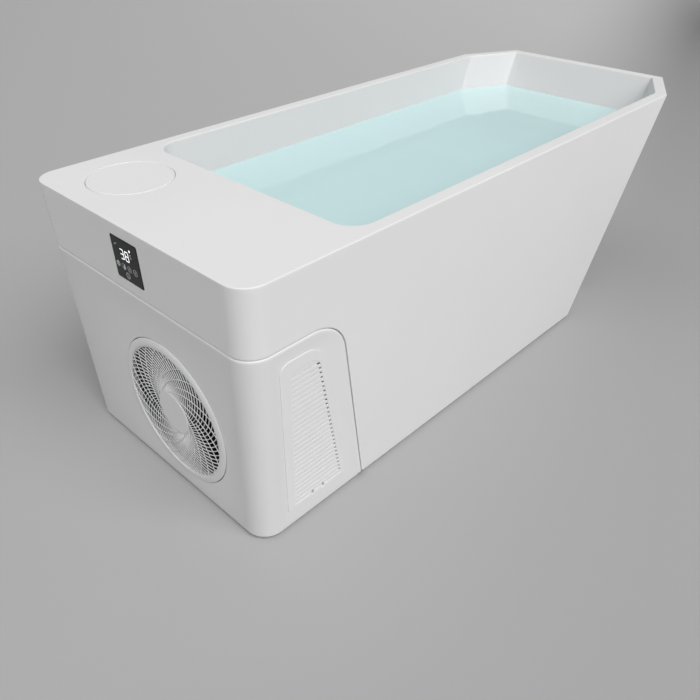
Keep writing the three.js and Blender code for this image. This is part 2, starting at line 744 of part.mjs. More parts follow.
[['near', -1], ['far', 1]].forEach(([side, sign]) => {
  const rail = add(
    tub, `frame_rail_${side}`, prism(railSection(), railStart, railEnd, ALONG_X, [railBore()]), BLACK_STEEL);
  rail.position.set(0, sign * railY, railBottom + RAIL_SIZE / 2);
});

const crossHalf = railY - RAIL_SIZE / 2 - CLEARANCE;
[['front', railStart + RAIL_SIZE], ['rear', railEnd - RAIL_SIZE]].forEach(([end, x]) => {
  const cross = add(
    tub, `frame_cross_${end}`, prism(railSection(), -crossHalf, crossHalf, ALONG_Y, [railBore()]), BLACK_STEEL);
  cross.position.set(x, 0, railBottom + RAIL_SIZE / 2);
});

function supportPost() {
  const bottom = railTop + CLEARANCE;
  const top = boardBottom - CLEARANCE;
  return turned([
    [0, bottom],
    [RAIL_SIZE / 2, bottom],
    [POST_RADIUS, bottom + POST_FLANGE_SKIN],
    [POST_RADIUS, top - POST_FLANGE_SKIN],
    [POST_FLANGE_RADIUS, top - POST_FLANGE_SKIN / 2],
    [POST_FLANGE_RADIUS, top],
    [0, top],
  ], SMALL_SIDES);
}

function levellingFoot() {
  return turned([
    [0, 0],
    [FOOT_RADIUS, 0],
    [FOOT_RADIUS, FOOT_PAD / 2],
    [FOOT_STEM_RADIUS, FOOT_PAD],
    [FOOT_STEM_RADIUS, FOOT_HEIGHT],
    [0, FOOT_HEIGHT],
  ], SMALL_SIDES);
}

const footXs = [railStart + FOOT_INSET, railEnd - FOOT_INSET];
[0, 1, 2, 3].forEach((i) => {
  const sign = i % 2 === 0 ? -1 : 1;
  const pair = Math.floor(i / 2);
  add(tub, `support_post_${i + 1}`, supportPost(), STEEL).position.set(postXs[pair], sign * railY, 0);
  add(tub, `levelling_foot_${i + 1}`, levellingFoot(), RUBBER).position.set(footXs[pair], sign * railY, 0);
});

// Machine tray: the bay's floor, on the rails
const trayInset = SKIN + CLEARANCE + LIP_SKIN + TRAY_GAP;
const trayStart = endX(railTop) + trayInset;
const trayHalf = sideY(railTop) - trayInset;
const trayEnd = fromMachineEnd(SEAM_FOOT) - TRAY_SETBACK;
const trayCorners = rectangle(trayStart, -trayHalf, trayEnd, trayHalf);
const trayRadius = CORNER_RADIUS - trayInset;
add(tub, 'machine_tray', prism(
  rounded(trayCorners, [trayRadius, 0, 0, trayRadius], CORNER_STEPS),
  railTop + CLEARANCE,
  trayTop,
), STEEL);

// Machine cover: the skin on the machine side of the seam, open for the grille and the vents
const fanPlace = endPlace(FAN_SHIFT, FAN_HEIGHT);
const grilleHoleRadius = GRILLE_RADIUS - BEZEL_LAP;
const openRadius = GRILLE_RADIUS - BEZEL_WIDTH;
const ventHeight = HEIGHT - VENT_DROP;

// Corner points of the vent's raised plate on the near side wall, measured from its foot
const ventPlate = () => [
  new THREE.Vector2(VENT_LEFT_FOOT, 0),
  new THREE.Vector2(VENT_RIGHT_FOOT, 0),
  new THREE.Vector2(VENT_RIGHT_TOP, ventHeight - VENT_FOOT),
  new THREE.Vector2(VENT_LEFT_TOP, ventHeight - VENT_FOOT),
];
const ventRadii = [VENT_HEEL_RADIUS, VENT_HEEL_RADIUS, VENT_SHOULDER_RADIUS, VENT_CORNER_RADIUS];

// The vent plate's outline, moved in by a distance.
function ventOutline(moveIn) {
  const radii = ventRadii.map((radius) => Math.max(radius - moveIn, 1));
  return rounded(inset(ventPlate(), moveIn), radii, CORNER_STEPS);
}

// The near side wall's frame, at the vent's foot, and a shape placed in it.
function ventGroup(parent) {
  const up = at(0, -Math.sin(sideTilt), Math.cos(sideTilt));
  return wallGroup(parent, at(machineX, -sideY(VENT_FOOT), VENT_FOOT), at(1, 0, 0), up);
}

const ventFrame = ventGroup(new THREE.Group());

function machineCover() {
  const walls = skin.intersect(seamRegion(SEAM_GAP));
  const grilleHole = onEnd(
    rod(grilleHoleRadius, -SKIN - BITE, OVERRUN, RING_SIDES), FAN_SHIFT, FAN_HEIGHT);
  const ventHole = inGroup(ventFrame, prism(ventOutline(VENT_LAP), -OVERRUN, OVERRUN));
  return cut(walls, grilleHole, ventHole, mirroredY(ventHole));
}

add(tub, 'machine_cover', machineCover(), WHITE_COVER);

// Angle at the fan's axis between an arc's centre and the arc's point at a radius.
const arcSweep = (arc, offset, radius) =>
  Math.acos((radius ** 2 + offset ** 2 - arc ** 2) / (2 * radius * offset));

// A thin rib that follows such an arc from one radius to another, turning one way or the other.
function sweptRib({ arc, offset, turn, start, from, to, skinWidth, back, front, steps }) {
  const middle = Array.from({ length: steps + 1 }, (_, i) => {
    const radius = from + ((to - from) * i) / steps;
    const angle = start - turn * arcSweep(arc, offset, radius);
    return new THREE.Vector2(radius * Math.cos(angle), radius * Math.sin(angle));
  });
  const edge = (side) => middle.map((point, i) => {
    const along = middle[Math.min(i + 1, steps)].clone().sub(middle[Math.max(i - 1, 0)]).normalize();
    return point.clone().add(new THREE.Vector2(-along.y, along.x).multiplyScalar((side * skinWidth) / 2));
  });
  return prism([...edge(-1), ...edge(1).reverse()], back, front);
}

const ribPattern = (count, first, rib) => Array.from({ length: count }, (_, i) =>
  sweptRib({ ...rib, start: first + (i / count) * 2 * Math.PI }));

// Fan grille: crowned bezel, hub, long vanes from the hub and short ones between them, in one moulding
const endGroup = wallGroup(tub, fanPlace, endRight, endUp);
const grilleBack = GRILLE_PROUD - GRILLE_DEPTH;
const vaneBack = GRILLE_PROUD - VANE_DEPTH;

function fanGrille() {
  const lapRadius = grilleHoleRadius - CLEARANCE;
  const crown = Array.from({ length: CROWN_STEPS + 1 }, (_, i) => {
    const angle = ((i / CROWN_STEPS) * Math.PI) / 2;
    const inwards = BEZEL_CROWN * (1 - Math.cos(angle));
    return [GRILLE_RADIUS - inwards, BEZEL_EDGE + (GRILLE_PROUD - BEZEL_EDGE) * Math.sin(angle)];
  });
  const bezel = turned([
    [openRadius, grilleBack],
    [lapRadius, grilleBack],
    [lapRadius, CLEARANCE],
    [GRILLE_RADIUS, CLEARANCE],
    ...crown,
    [openRadius, GRILLE_PROUD],
    [openRadius, grilleBack],
  ], RING_SIDES);
  const hub = rod(HUB_RADIUS, vaneBack, GRILLE_PROUD, RING_SIDES / 2);
  const vane = {
    arc: VANE_ARC,
    offset: VANE_ARC_OFFSET,
    turn: -1,
    to: openRadius + VANE_SKIN,
    skinWidth: VANE_SKIN,
    back: vaneBack,
    front: GRILLE_PROUD - BITE,
  };
  const first = THREE.MathUtils.degToRad(VANE_START);
  const long = ribPattern(VANE_PAIRS, first, { ...vane, from: HUB_RADIUS - VANE_SKIN, steps: VANE_STEPS });
  const short = ribPattern(VANE_PAIRS, first + Math.PI / VANE_PAIRS, {
    ...vane, from: SHORT_VANE_RADIUS, steps: SHORT_VANE_STEPS,
  });
  return join(bezel, hub, ...long, ...short);
}

add(endGroup, 'fan_grille', fanGrille(), WHITE_COVER);

// Fan guard: fine ribs swept the other way, in a hoop that snaps into the bezel behind the vanes
const guardFront = vaneBack - CLEARANCE;
const guardBack = guardFront - GUARD_DEPTH;
const hoopRadius = openRadius - CLEARANCE;

function fanGuard() {
  const hoop = tube(hoopRadius - GUARD_RING_WIDTH, hoopRadius, guardBack, guardFront, RING_SIDES);
  const hub = rod(HUB_RADIUS, guardBack, guardFront, RING_SIDES / 2);
  const ribs = ribPattern(GUARD_COUNT, THREE.MathUtils.degToRad(GUARD_START), {
    arc: GUARD_ARC,
    offset: GUARD_ARC_OFFSET,
    turn: 1,
    from: HUB_RADIUS - GUARD_SKIN,
    to: hoopRadius - GUARD_RING_WIDTH / 2,
    skinWidth: GUARD_SKIN,
    back: guardFront - BITE - GUARD_RIB_DEPTH,
    front: guardFront - BITE,
    steps: GUARD_STEPS,
  });
  return join(hoop, hub, ...ribs);
}

add(endGroup, 'fan_guard', fanGuard(), WHITE_COVER);

// Condenser fan: shroud with its motor arms, motor and rotor, on an axis along X
const fanGroup = new THREE.Group();
fanGroup.position.set(fanPlace.x + FAN_SETBACK, FAN_SHIFT, FAN_HEIGHT);
tub.add(fanGroup);
const fanTipRadius = openRadius - FAN_TIP_INSET;
const shroudRadius = fanTipRadius + FAN_TIP_GAP;
const coilHalf = FAN_HEIGHT - seatHeight;
const hubBack = FAN_HUB_DEPTH / 2;
const hubFront = -FAN_HUB_DEPTH / 2;
const motorFront = hubFront + FAN_HUB_SKIN + FAN_HUB_SKIN / 2;
const motorBack = motorFront + MOTOR_LENGTH;
const shroudFront = motorBack + CLEARANCE;
const shroudBack = shroudFront + SHROUD_SKIN;

// A blade section at one radius: a thin pitched plate, bent round the axis.
function bladeSection(radius, angle, share) {
  const chord = THREE.MathUtils.lerp(FAN_ROOT_CHORD, FAN_TIP_CHORD, share);
  const pitch = THREE.MathUtils.degToRad(THREE.MathUtils.lerp(FAN_ROOT_ANGLE, FAN_TIP_ANGLE, share));
  return [[-1, -1], [1, -1], [1, 1], [-1, 1]].map(([along, across]) => {
    const tangent = (along * chord * Math.cos(pitch) - across * FAN_BLADE_SKIN * Math.sin(pitch)) / 2;
    const axial = (along * chord * Math.sin(pitch) + across * FAN_BLADE_SKIN * Math.cos(pitch)) / 2;
    const turn = angle + tangent / radius;
    return at(axial, radius * Math.cos(turn), radius * Math.sin(turn));
  });
}

function fanRotor() {
  const inner = FAN_HUB_RADIUS - FAN_HUB_SKIN;
  const hub = turned([
    [MOTOR_SHAFT_RADIUS + CLEARANCE, hubFront],
    [FAN_HUB_RADIUS - FAN_HUB_SKIN, hubFront],
    [FAN_HUB_RADIUS, hubFront + FAN_HUB_SKIN],
    [FAN_HUB_RADIUS, hubBack],
    [inner, hubBack],
    [inner, hubFront + FAN_HUB_SKIN],
    [MOTOR_SHAFT_RADIUS + CLEARANCE, hubFront + FAN_HUB_SKIN],
    [MOTOR_SHAFT_RADIUS + CLEARANCE, hubFront],
  ], ROUND_SIDES, ALONG_X);
  const rootRadius = FAN_HUB_RADIUS - FAN_HUB_SKIN / 4;
  const blades = Array.from({ length: FAN_BLADE_COUNT }, (_, i) => {
    const angle = (i / FAN_BLADE_COUNT) * 2 * Math.PI;
    return loft([0, 0.5, 1].map((share) =>
      bladeSection(THREE.MathUtils.lerp(rootRadius, fanTipRadius, share), angle, share)));
  });
  return join(hub, ...blades);
}

add(fanGroup, 'fan_rotor', fanRotor(), BLACK_PLASTIC);

add(fanGroup, 'fan_motor', turned([
  [0, hubFront],
  [MOTOR_SHAFT_RADIUS, hubFront],
  [MOTOR_SHAFT_RADIUS, motorFront],
  [MOTOR_RADIUS - FAN_HUB_SKIN, motorFront],
  [MOTOR_RADIUS, motorFront + FAN_HUB_SKIN],
  [MOTOR_RADIUS, motorBack],
  [0, motorBack],
], ROUND_SIDES, ALONG_X), STEEL);

// One opening of the shroud: a quarter of the ring between the motor mount and the venturi.
function shroudOpening(quarter) {
  const arc = (radius, steps, flip) => Array.from({ length: steps + 1 }, (_, i) => {
    const margin = Math.asin(SHROUD_ARM_WIDTH / 2 / radius);
    const share = flip ? 1 - i / steps : i / steps;
    const angle = (quarter * Math.PI) / 2 + margin + share * (Math.PI / 2 - 2 * margin);
    return new THREE.Vector2(radius * Math.cos(angle), radius * Math.sin(angle));
  });
  return [...arc(shroudRadius, CORNER_STEPS, false), ...arc(MOTOR_RADIUS, FILLET_STEPS, true)];
}

function fanShroud() {
  const plate = prism(
    rectangle(-coilHalf, -coilHalf, coilHalf, coilHalf),
    shroudFront, shroudBack, ALONG_X, [0, 1, 2, 3].map(shroudOpening));
  const venturi = tube(
    shroudRadius + SHROUD_SKIN, shroudRadius + 2 * SHROUD_SKIN, hubFront - SHROUD_SKIN, shroudFront + BITE,
    RING_SIDES / 2, ALONG_X);
  return join(plate, venturi);
}

add(fanGroup, 'fan_shroud', fanShroud(), BLACK_STEEL);

// Condenser coil: a block with upright fins towards the bay
const coilFront = shroudBack + CLEARANCE;
const coilBack = coilFront + COIL_DEPTH;

function condenserCoil() {
  const pitch = (2 * coilHalf) / COIL_FIN_COUNT;
  const comb = [new THREE.Vector2(coilFront, -coilHalf)];
  for (let i = 0; i < COIL_FIN_COUNT; i += 1) {
    const y = -coilHalf + i * pitch;
    comb.push(new THREE.Vector2(coilBack, y));
    comb.push(new THREE.Vector2(coilBack, y + pitch / 2));
    comb.push(new THREE.Vector2(coilBack - COIL_FIN_DEPTH, y + pitch / 2));
    comb.push(new THREE.Vector2(coilBack - COIL_FIN_DEPTH, y + pitch));
  }
  comb.push(new THREE.Vector2(coilFront, coilHalf));
  return prism(comb, -coilHalf, coilHalf);
}

add(fanGroup, 'condenser_coil', condenserCoil(), ALUMINIUM);

// Compressor: a domed can on a three-eared plate and rubber feet
const compressorX = fromMachineEnd(COMPRESSOR_SETBACK);
const compressorY = exchangerY + EXCHANGER_RADIUS + COMPRESSOR_GAP + COMPRESSOR_RADIUS;
const compressorGroup = new THREE.Group();
compressorGroup.position.set(compressorX, compressorY, seatHeight);
tub.add(compressorGroup);
const plateBottom = COMPRESSOR_FOOT_HEIGHT + CLEARANCE;
const compressorTop = plateBottom + COMPRESSOR_PLATE_SKIN + COMPRESSOR_HEIGHT;
const earAngles = [0, 1, 2].map((i) => Math.PI / 2 + (i / 3) * 2 * Math.PI);

function compressor() {
  const bottom = plateBottom + COMPRESSOR_PLATE_SKIN - BITE;
  const dome = COMPRESSOR_RADIUS / 2;
  const can = turned([
    [0, bottom],
    [COMPRESSOR_RADIUS * 0.8, bottom],
    [COMPRESSOR_RADIUS, bottom + dome / 2],
    [COMPRESSOR_RADIUS, compressorTop - dome],
    [COMPRESSOR_RADIUS * 0.8, compressorTop - dome / 4],
    [COMPRESSOR_RADIUS * 0.4, compressorTop],
    [0, compressorTop],
  ], ROUND_SIDES);
  const ears = earAngles.map((angle) => {
    const x = COMPRESSOR_FOOT_SPREAD * Math.cos(angle);
    const y = COMPRESSOR_FOOT_SPREAD * Math.sin(angle);
    return new THREE.Vector2(x, y);
  });
  const outlinePoints = rounded(
    inset(ears, -COMPRESSOR_FOOT_RADIUS), earAngles.map(() => COMPRESSOR_FOOT_RADIUS), FILLET_STEPS);
  return join(can, prism(outlinePoints, plateBottom, plateBottom + COMPRESSOR_PLATE_SKIN));
}

add(compressorGroup, 'compressor', compressor(), BLACK_STEEL);

earAngles.forEach((angle, i) => {
  const foot = turned([
    [0, 0],
    [COMPRESSOR_FOOT_RADIUS, 0],
    [COMPRESSOR_FOOT_RADIUS * 0.8, COMPRESSOR_FOOT_HEIGHT / 2],
    [COMPRESSOR_FOOT_RADIUS, COMPRESSOR_FOOT_HEIGHT],
    [0, COMPRESSOR_FOOT_HEIGHT],
  ], SMALL_SIDES);
  add(compressorGroup, `compressor_foot_${i + 1}`, foot, RUBBER).position.set(
    COMPRESSOR_FOOT_SPREAD * Math.cos(angle), COMPRESSOR_FOOT_SPREAD * Math.sin(angle), 0);
});

// Heat exchanger: an upright canister with a water inlet on top and an outlet towards the basin
const exchangerX = fromMachineEnd(EXCHANGER_SETBACK);

// A point on a wall fitting's axis, a distance beyond the end of its nipple
const fittingPoint = (group, beyond) =>
  inGroupPoint(group, at(0, 0, -BASIN_SKIN - FITTING_REACH - beyond));

const returnPortZ = fittingPoint(returnGroup, FITTING_REACH).z;
const returnPortX = exchangerX + EXCHANGER_RADIUS + EXCHANGER_PORT;
const exchangerTop = returnPortZ + EXCHANGER_HEAD;
const stubTop = exchangerTop + EXCHANGER_STUB;
const exchangerHeight = exchangerTop - seatHeight;

function heatExchanger() {
  const can = turned([
    [0, seatHeight],
    [EXCHANGER_RADIUS, seatHeight],
    [EXCHANGER_RADIUS, exchangerTop - EXCHANGER_STUB],
    [EXCHANGER_STUB_RADIUS, exchangerTop],
    [EXCHANGER_STUB_RADIUS, stubTop],
    [0, stubTop],
  ], ROUND_SIDES);
  const outlet = rod(EXCHANGER_STUB_RADIUS, 0, EXCHANGER_RADIUS + EXCHANGER_PORT, SMALL_SIDES, ALONG_X);
  return join(can, moved(outlet, 0, 0, returnPortZ));
}

add(tub, 'heat_exchanger', heatExchanger(), BLACK_PLASTIC).position.set(exchangerX, exchangerY, 0);

// Filter: an open canister under the deck, a pleated cartridge in it, and the lid with its gasket
const filterTop = basinTop;
const filterBottom = filterTop - FILTER_LENGTH;
const filterBore = FILTER_RADIUS - FILTER_WALL;
const filterFlangeRadius = LID_RADIUS + LID_GAP + FILTER_FLANGE;
const suctionPortZ = fittingPoint(suctionGroup, FITTING_REACH).z;
const portRadius = PIPE_RADIUS + STUB_WALL;
const suctionPortX = FILTER_RADIUS + STUB_LENGTH;
const filterGroup = new THREE.Group();
filterGroup.position.set(lidX, lidY, 0);
tub.add(filterGroup);

function filterHousing() {
  const canister = turned([
    [PIPE_RADIUS, filterBottom - STUB_LENGTH],
    [portRadius, filterBottom - STUB_LENGTH],
    [portRadius, filterBottom],
    [FILTER_RADIUS, filterBottom + FILTER_FLANGE],
    [FILTER_RADIUS, filterTop - FILTER_FLANGE],
    [filterFlangeRadius, filterTop - FILTER_WALL],
    [filterFlangeRadius, filterTop],
    [filterBore, filterTop],
    [filterBore, filterBottom + FILTER_FLANGE + FILTER_WALL],
    [PIPE_RADIUS, filterBottom + FILTER_FLANGE + FILTER_WALL],
    [PIPE_RADIUS, filterBottom - STUB_LENGTH],
  ], ROUND_SIDES);
  const port = moved(
    rod(portRadius, FILTER_RADIUS - FILTER_WALL, suctionPortX, SMALL_SIDES, ALONG_X), 0, 0, suctionPortZ);
  const bore = moved(
    rod(PIPE_RADIUS, FILTER_RADIUS - OVERRUN / 2, suctionPortX + BITE, SMALL_SIDES, ALONG_X),
    0, 0, suctionPortZ);
  const inside = rod(filterBore, filterBottom + FILTER_FLANGE + FILTER_WALL, filterTop + BITE, ROUND_SIDES);
  return cut(join(canister, port), inside, bore);
}

add(filterGroup, 'filter_housing', filterHousing(), PVC);

function filterCartridge() {
  const bottom = filterBottom + FILTER_FLANGE + FILTER_WALL + CLEARANCE;
  const top = bottom + CARTRIDGE_LENGTH;
  const pleats = Array.from({ length: 2 * CARTRIDGE_PLEAT_COUNT }, (_, i) => {
    const angle = (i / CARTRIDGE_PLEAT_COUNT) * Math.PI;
    const radius = CARTRIDGE_RADIUS - (i % 2) * CARTRIDGE_PLEAT;
    return new THREE.Vector2(radius * Math.cos(angle), radius * Math.sin(angle));
  });
  return prism(pleats, bottom, top, ALONG_Z, [circle(CARTRIDGE_CORE_RADIUS, SMALL_SIDES)]);
}

add(filterGroup, 'filter_cartridge', filterCartridge(), PAPER);

const lidBottom = filterTop + CLEARANCE;
const gasketTop = lidBottom - CLEARANCE;
const gasketBottom = gasketTop - GASKET_DEPTH;
const gasketRadius = filterBore * Math.cos(Math.PI / ROUND_SIDES) - CLEARANCE;
const spigotRadius = gasketRadius - GASKET_WIDTH - CLEARANCE;
const spigotBottom = lidBottom - LID_SPIGOT_DEPTH;
add(filterGroup, 'filter_lid', turned([
  [0, lidBottom],
  [spigotRadius - LID_SPIGOT_WALL, lidBottom],
  [spigotRadius - LID_SPIGOT_WALL, spigotBottom],
  [spigotRadius, spigotBottom],
  [spigotRadius, lidBottom],
  [LID_RADIUS, lidBottom],
  [LID_RADIUS, HEIGHT - LID_GAP],
  [LID_RADIUS - LID_GAP, HEIGHT],
  [0, HEIGHT],
], LID_SIDES), WHITE_SHELL);

add(filterGroup, 'lid_gasket', tube(
  gasketRadius - GASKET_WIDTH, gasketRadius, gasketBottom, gasketTop, LID_SIDES), RUBBER);

// Circulation pump: a volute with an axial inlet and an upward outlet, and a finned motor behind it
const pumpX = fromMachineEnd(PUMP_SETBACK);
const pumpZ = seatHeight + PUMP_AXIS_HEIGHT;
const pumpGroup = new THREE.Group();
pumpGroup.position.set(pumpX, lidY, pumpZ);
tub.add(pumpGroup);
const outletTop = PUMP_RADIUS + STUB_LENGTH;

function circulationPump() {
  const volute = turned([
    [0, -STUB_LENGTH],
    [portRadius, -STUB_LENGTH],
    [portRadius, 0],
    [PUMP_RADIUS * 0.85, 0],
    [PUMP_RADIUS, PUMP_DEPTH * 0.25],
    [PUMP_RADIUS, PUMP_DEPTH * 0.75],
    [PUMP_RADIUS * 0.85, PUMP_DEPTH],
    [0, PUMP_DEPTH],
  ], ROUND_SIDES, ALONG_X);
  const outlet = moved(rod(PIPE_RADIUS, 0, outletTop, SMALL_SIDES), PUMP_DEPTH / 2, PUMP_OUTLET_SHIFT, 0);
  return join(volute, outlet);
}

add(pumpGroup, 'circulation_pump', circulationPump(), BLACK_PLASTIC);

function pumpMotor() {
  const from = PUMP_DEPTH + CLEARANCE;
  const to = from + PUMP_MOTOR_LENGTH;
  const count = 4 * PUMP_MOTOR_FINS;
  const fins = Array.from({ length: count }, (_, i) => {
    const angle = (i / count) * 2 * Math.PI;
    const radius = PUMP_MOTOR_RADIUS - (i % 4 < 2 ? 0 : PUMP_FIN_HEIGHT);
    return new THREE.Vector2(radius * Math.cos(angle), radius * Math.sin(angle));
  });
  const body = prism(fins, from, to - PUMP_FIN_HEIGHT, ALONG_X);
  const cover = rod(PUMP_MOTOR_RADIUS - PUMP_FIN_HEIGHT / 2, to - 2 * PUMP_FIN_HEIGHT, to, ROUND_SIDES, ALONG_X);
  const foot = prism(
    [[-PUMP_MOTOR_RADIUS, 0], [PUMP_MOTOR_RADIUS, 0], [PUMP_MOTOR_RADIUS / 2, PUMP_AXIS_HEIGHT],
      [-PUMP_MOTOR_RADIUS / 2, PUMP_AXIS_HEIGHT]].map(([y, z]) => new THREE.Vector2(y, z - PUMP_AXIS_HEIGHT)),
    from + PUMP_MOTOR_LENGTH * 0.25, from + PUMP_MOTOR_LENGTH * 0.75, ALONG_X);
  return join(body, cover, foot);
}

add(pumpGroup, 'pump_motor', pumpMotor(), BLACK_STEEL);

// Water pipes: basin to filter, filter to pump, pump to exchanger, exchanger to basin
// The last runs of a pipe at a wall fitting and at a level port stay square to each.
function couplingPath(group, port) {
  return [
    fittingPoint(group, CLEARANCE),
    fittingPoint(group, COUPLING),
    port.clone().add(at(COUPLING, 0, 0)),
    port,
  ];
}

const suctionPort = at(lidX + suctionPortX + CLEARANCE, lidY, suctionPortZ);
add(tub, 'suction_pipe', pipe(couplingPath(suctionGroup, suctionPort), PIPE_RADIUS, PIPE_BEND), PVC);

const feedX = fromMachineEnd(FEED_PIPE_SETBACK);
const feedTop = filterBottom - STUB_LENGTH - CLEARANCE;
add(tub, 'pump_feed_pipe', pipe([
  at(lidX, lidY, feedTop),
  at(lidX, lidY, feedTop - 2 * PIPE_RADIUS),
  at(feedX, lidY, feedTop - 2 * PIPE_RADIUS - PIPE_BEND),
  at(feedX, lidY, pumpZ),
  at(pumpX - STUB_LENGTH - CLEARANCE, lidY, pumpZ),
], PIPE_RADIUS, PIPE_BEND), PVC);

const runZ = stubTop + PIPE_RUN_RISE;
const outletX = pumpX + PUMP_DEPTH / 2;
const outletY = lidY + PUMP_OUTLET_SHIFT;
add(tub, 'pump_outlet_pipe', pipe([
  at(outletX, outletY, pumpZ + outletTop + CLEARANCE),
  at(outletX, outletY, runZ),
  at(outletX, exchangerY, runZ),
  at(exchangerX, exchangerY, runZ),
  at(exchangerX, exchangerY, stubTop + CLEARANCE),
], PIPE_RADIUS - STUB_WALL, PIPE_BEND), PVC);

const returnPort = at(returnPortX + CLEARANCE, exchangerY, returnPortZ);
add(tub, 'return_pipe', pipe(couplingPath(returnGroup, returnPort), PIPE_RADIUS, PIPE_BEND), PVC);

// Refrigerant lines: compressor to coil, coil to exchanger, exchanger to compressor
const coilRear = fanGroup.position.x + coilBack + CLEARANCE;
const canTop = seatHeight + compressorTop + CLEARANCE;
const dischargeY = compressorY + 2 * DISCHARGE_RADIUS;
const dischargeZ = canTop + 4 * DISCHARGE_RADIUS;
add(tub, 'discharge_line', pipe([
  at(compressorX, dischargeY, canTop),
  at(compressorX, dischargeY, dischargeZ),
  at(coilRear, dischargeY, dischargeZ),
], DISCHARGE_RADIUS, PIPE_BEND / 2), COPPER);

const liquidZ = seatHeight + exchangerHeight / 5;
add(tub, 'liquid_line', pipe([
  at(coilRear, exchangerY, liquidZ),
  at(exchangerX - EXCHANGER_RADIUS - CLEARANCE, exchangerY, liquidZ),
], LIQUID_RADIUS, PIPE_BEND / 2), COPPER);

const suctionLineZ = seatHeight + exchangerHeight / 2;
const suctionLineStart = exchangerY + EXCHANGER_RADIUS + CLEARANCE;
const suctionLineEnd = compressorY - COMPRESSOR_RADIUS - CLEARANCE;
const suctionLineBend = (suctionLineStart + suctionLineEnd) / 2;
add(tub, 'suction_line', pipe([
  at(exchangerX, suctionLineStart, suctionLineZ),
  at(exchangerX, suctionLineBend, suctionLineZ),
  at(compressorX, suctionLineBend, suctionLineZ),
  at(compressorX, suctionLineEnd, suctionLineZ),
], SUCTION_RADIUS, PIPE_BEND / 2), COPPER);

// Vent panels: a raised plate with louvre slots and a latch tab, and a dust screen behind
function ventPanel() {
  const plate = prism(ventOutline(0), CLEARANCE, VENT_PROUD);
  const spigot = prism(ventOutline(VENT_LAP + CLEARANCE), -VENT_DEPTH, CLEARANCE + BITE);
  const rows = ventHeight - VENT_FOOT - LOUVRE_TOP_MARGIN - LOUVRE_FOOT_MARGIN;
  const pitch = rows / LOUVRE_COUNT;
  const edgeAt = (foot, top, y) => foot + ((top - foot) * y) / (ventHeight - VENT_FOOT);
  const slots = Array.from({ length: LOUVRE_COUNT }, (_, i) => {
    const y = LOUVRE_FOOT_MARGIN + (i + 0.5) * pitch - LOUVRE_SLOT / 2;
    const left = edgeAt(VENT_LEFT_FOOT, VENT_LEFT_TOP, y) + LOUVRE_LEFT_MARGIN;
    const right = edgeAt(VENT_RIGHT_FOOT, VENT_RIGHT_TOP, y + LOUVRE_SLOT) - LOUVRE_RIGHT_MARGIN;
    const fall = (VENT_PROUD + BITE + VENT_DEPTH) / (VENT_PROUD + VENT_DEPTH);
    const low = y + LOUVRE_RISE * (1 - fall);
    const section = (x) => [
      at(x, low, VENT_PROUD + BITE),
      at(x, low + LOUVRE_SLOT, VENT_PROUD + BITE),
      at(x, y + LOUVRE_RISE + LOUVRE_SLOT, -VENT_DEPTH - BITE),
      at(x, y + LOUVRE_RISE, -VENT_DEPTH - BITE),
    ];
    return loft([section(left), section(right)]);
  });
  const latchX = (VENT_LEFT_FOOT + VENT_RIGHT_FOOT) / 2;
  const slits = [-1, 1].map((side) => {
    const x = latchX + (side * (LATCH_WIDTH - LATCH_SLIT)) / 2;
    return prism(
      rectangle(x - LATCH_SLIT / 2, -BITE, x + LATCH_SLIT / 2, LATCH_HEIGHT), -VENT_DEPTH - BITE, OVERRUN);
  });
  return cut(join(plate, spigot), ...slots, ...slits);
}

function ventScreen() {
  const front = -VENT_DEPTH - CLEARANCE;
  const edge = VENT_LAP + SCREEN_BAR;
  const frame = prism(ventOutline(edge), front - SCREEN_SKIN, front);
  const height = ventHeight - VENT_FOOT;
  const low = edge + SCREEN_FRAME;
  const pitch = (height - 2 * low) / SCREEN_ROWS;
  const lean = (y) => (VENT_RIGHT_TOP - VENT_RIGHT_FOOT) * (y / height) + VENT_RIGHT_FOOT;
  const windows = Array.from({ length: SCREEN_ROWS }, (_, i) => {
    const bottom = low + i * pitch + SCREEN_BAR / 2;
    const top = low + (i + 1) * pitch - SCREEN_BAR / 2;
    const right = lean(top) - edge - SCREEN_FRAME;
    const reach = i + 1 === SCREEN_ROWS ? VENT_SHOULDER_RADIUS / 2 : 0;
    return prism(
      rectangle(VENT_LEFT_FOOT + edge + SCREEN_FRAME, bottom, right - reach, top),
      front - SCREEN_SKIN - BITE, front + BITE);
  });
  return cut(frame, ...windows);
}

const nearVent = inGroup(ventFrame, ventPanel());
const nearScreen = inGroup(ventFrame, ventScreen());
add(tub, 'vent_panel_near', nearVent, WHITE_COVER);
add(tub, 'vent_panel_far', mirroredY(nearVent), WHITE_COVER);
add(tub, 'vent_filter_near', nearScreen, BLACK_PLASTIC);
add(tub, 'vent_filter_far', mirroredY(nearScreen), BLACK_PLASTIC);

// Display: a dark glass square in the end wall, its circuit board, and the housing behind the wall
const displayGroup = wallGroup(tub, endPlace(0, displayHeight), endRight, endUp);
const glassBack = GLASS_PROUD - GLASS_SKIN;
const windowSize = DISPLAY_SIZE - 2 * DISPLAY_LEDGE;
add(displayGroup, 'display_glass', prism(
  roundedSquare(DISPLAY_SIZE, DISPLAY_CORNER_RADIUS), glassBack, GLASS_PROUD), DARK_GLASS);

const circuitFront = glassBack - CLEARANCE;
add(displayGroup, 'display_board', prism(
  roundedSquare(windowSize - 2 * BOARD_MARGIN, DISPLAY_CORNER_RADIUS - BOARD_MARGIN),
  circuitFront - CIRCUIT_SKIN, circuitFront), CIRCUIT);

const housingFront = -SKIN - CLEARANCE;
const housingBack = housingFront - HOUSING_DEPTH;
add(displayGroup, 'display_housing', cut(
  prism(roundedSquare(windowSize + 2 * DISPLAY_LEDGE, DISPLAY_CORNER_RADIUS), housingBack, housingFront),
  prism(roundedSquare(windowSize, DISPLAY_CORNER_RADIUS), housingBack + HOUSING_WALL, housingFront + BITE),
), BLACK_PLASTIC);

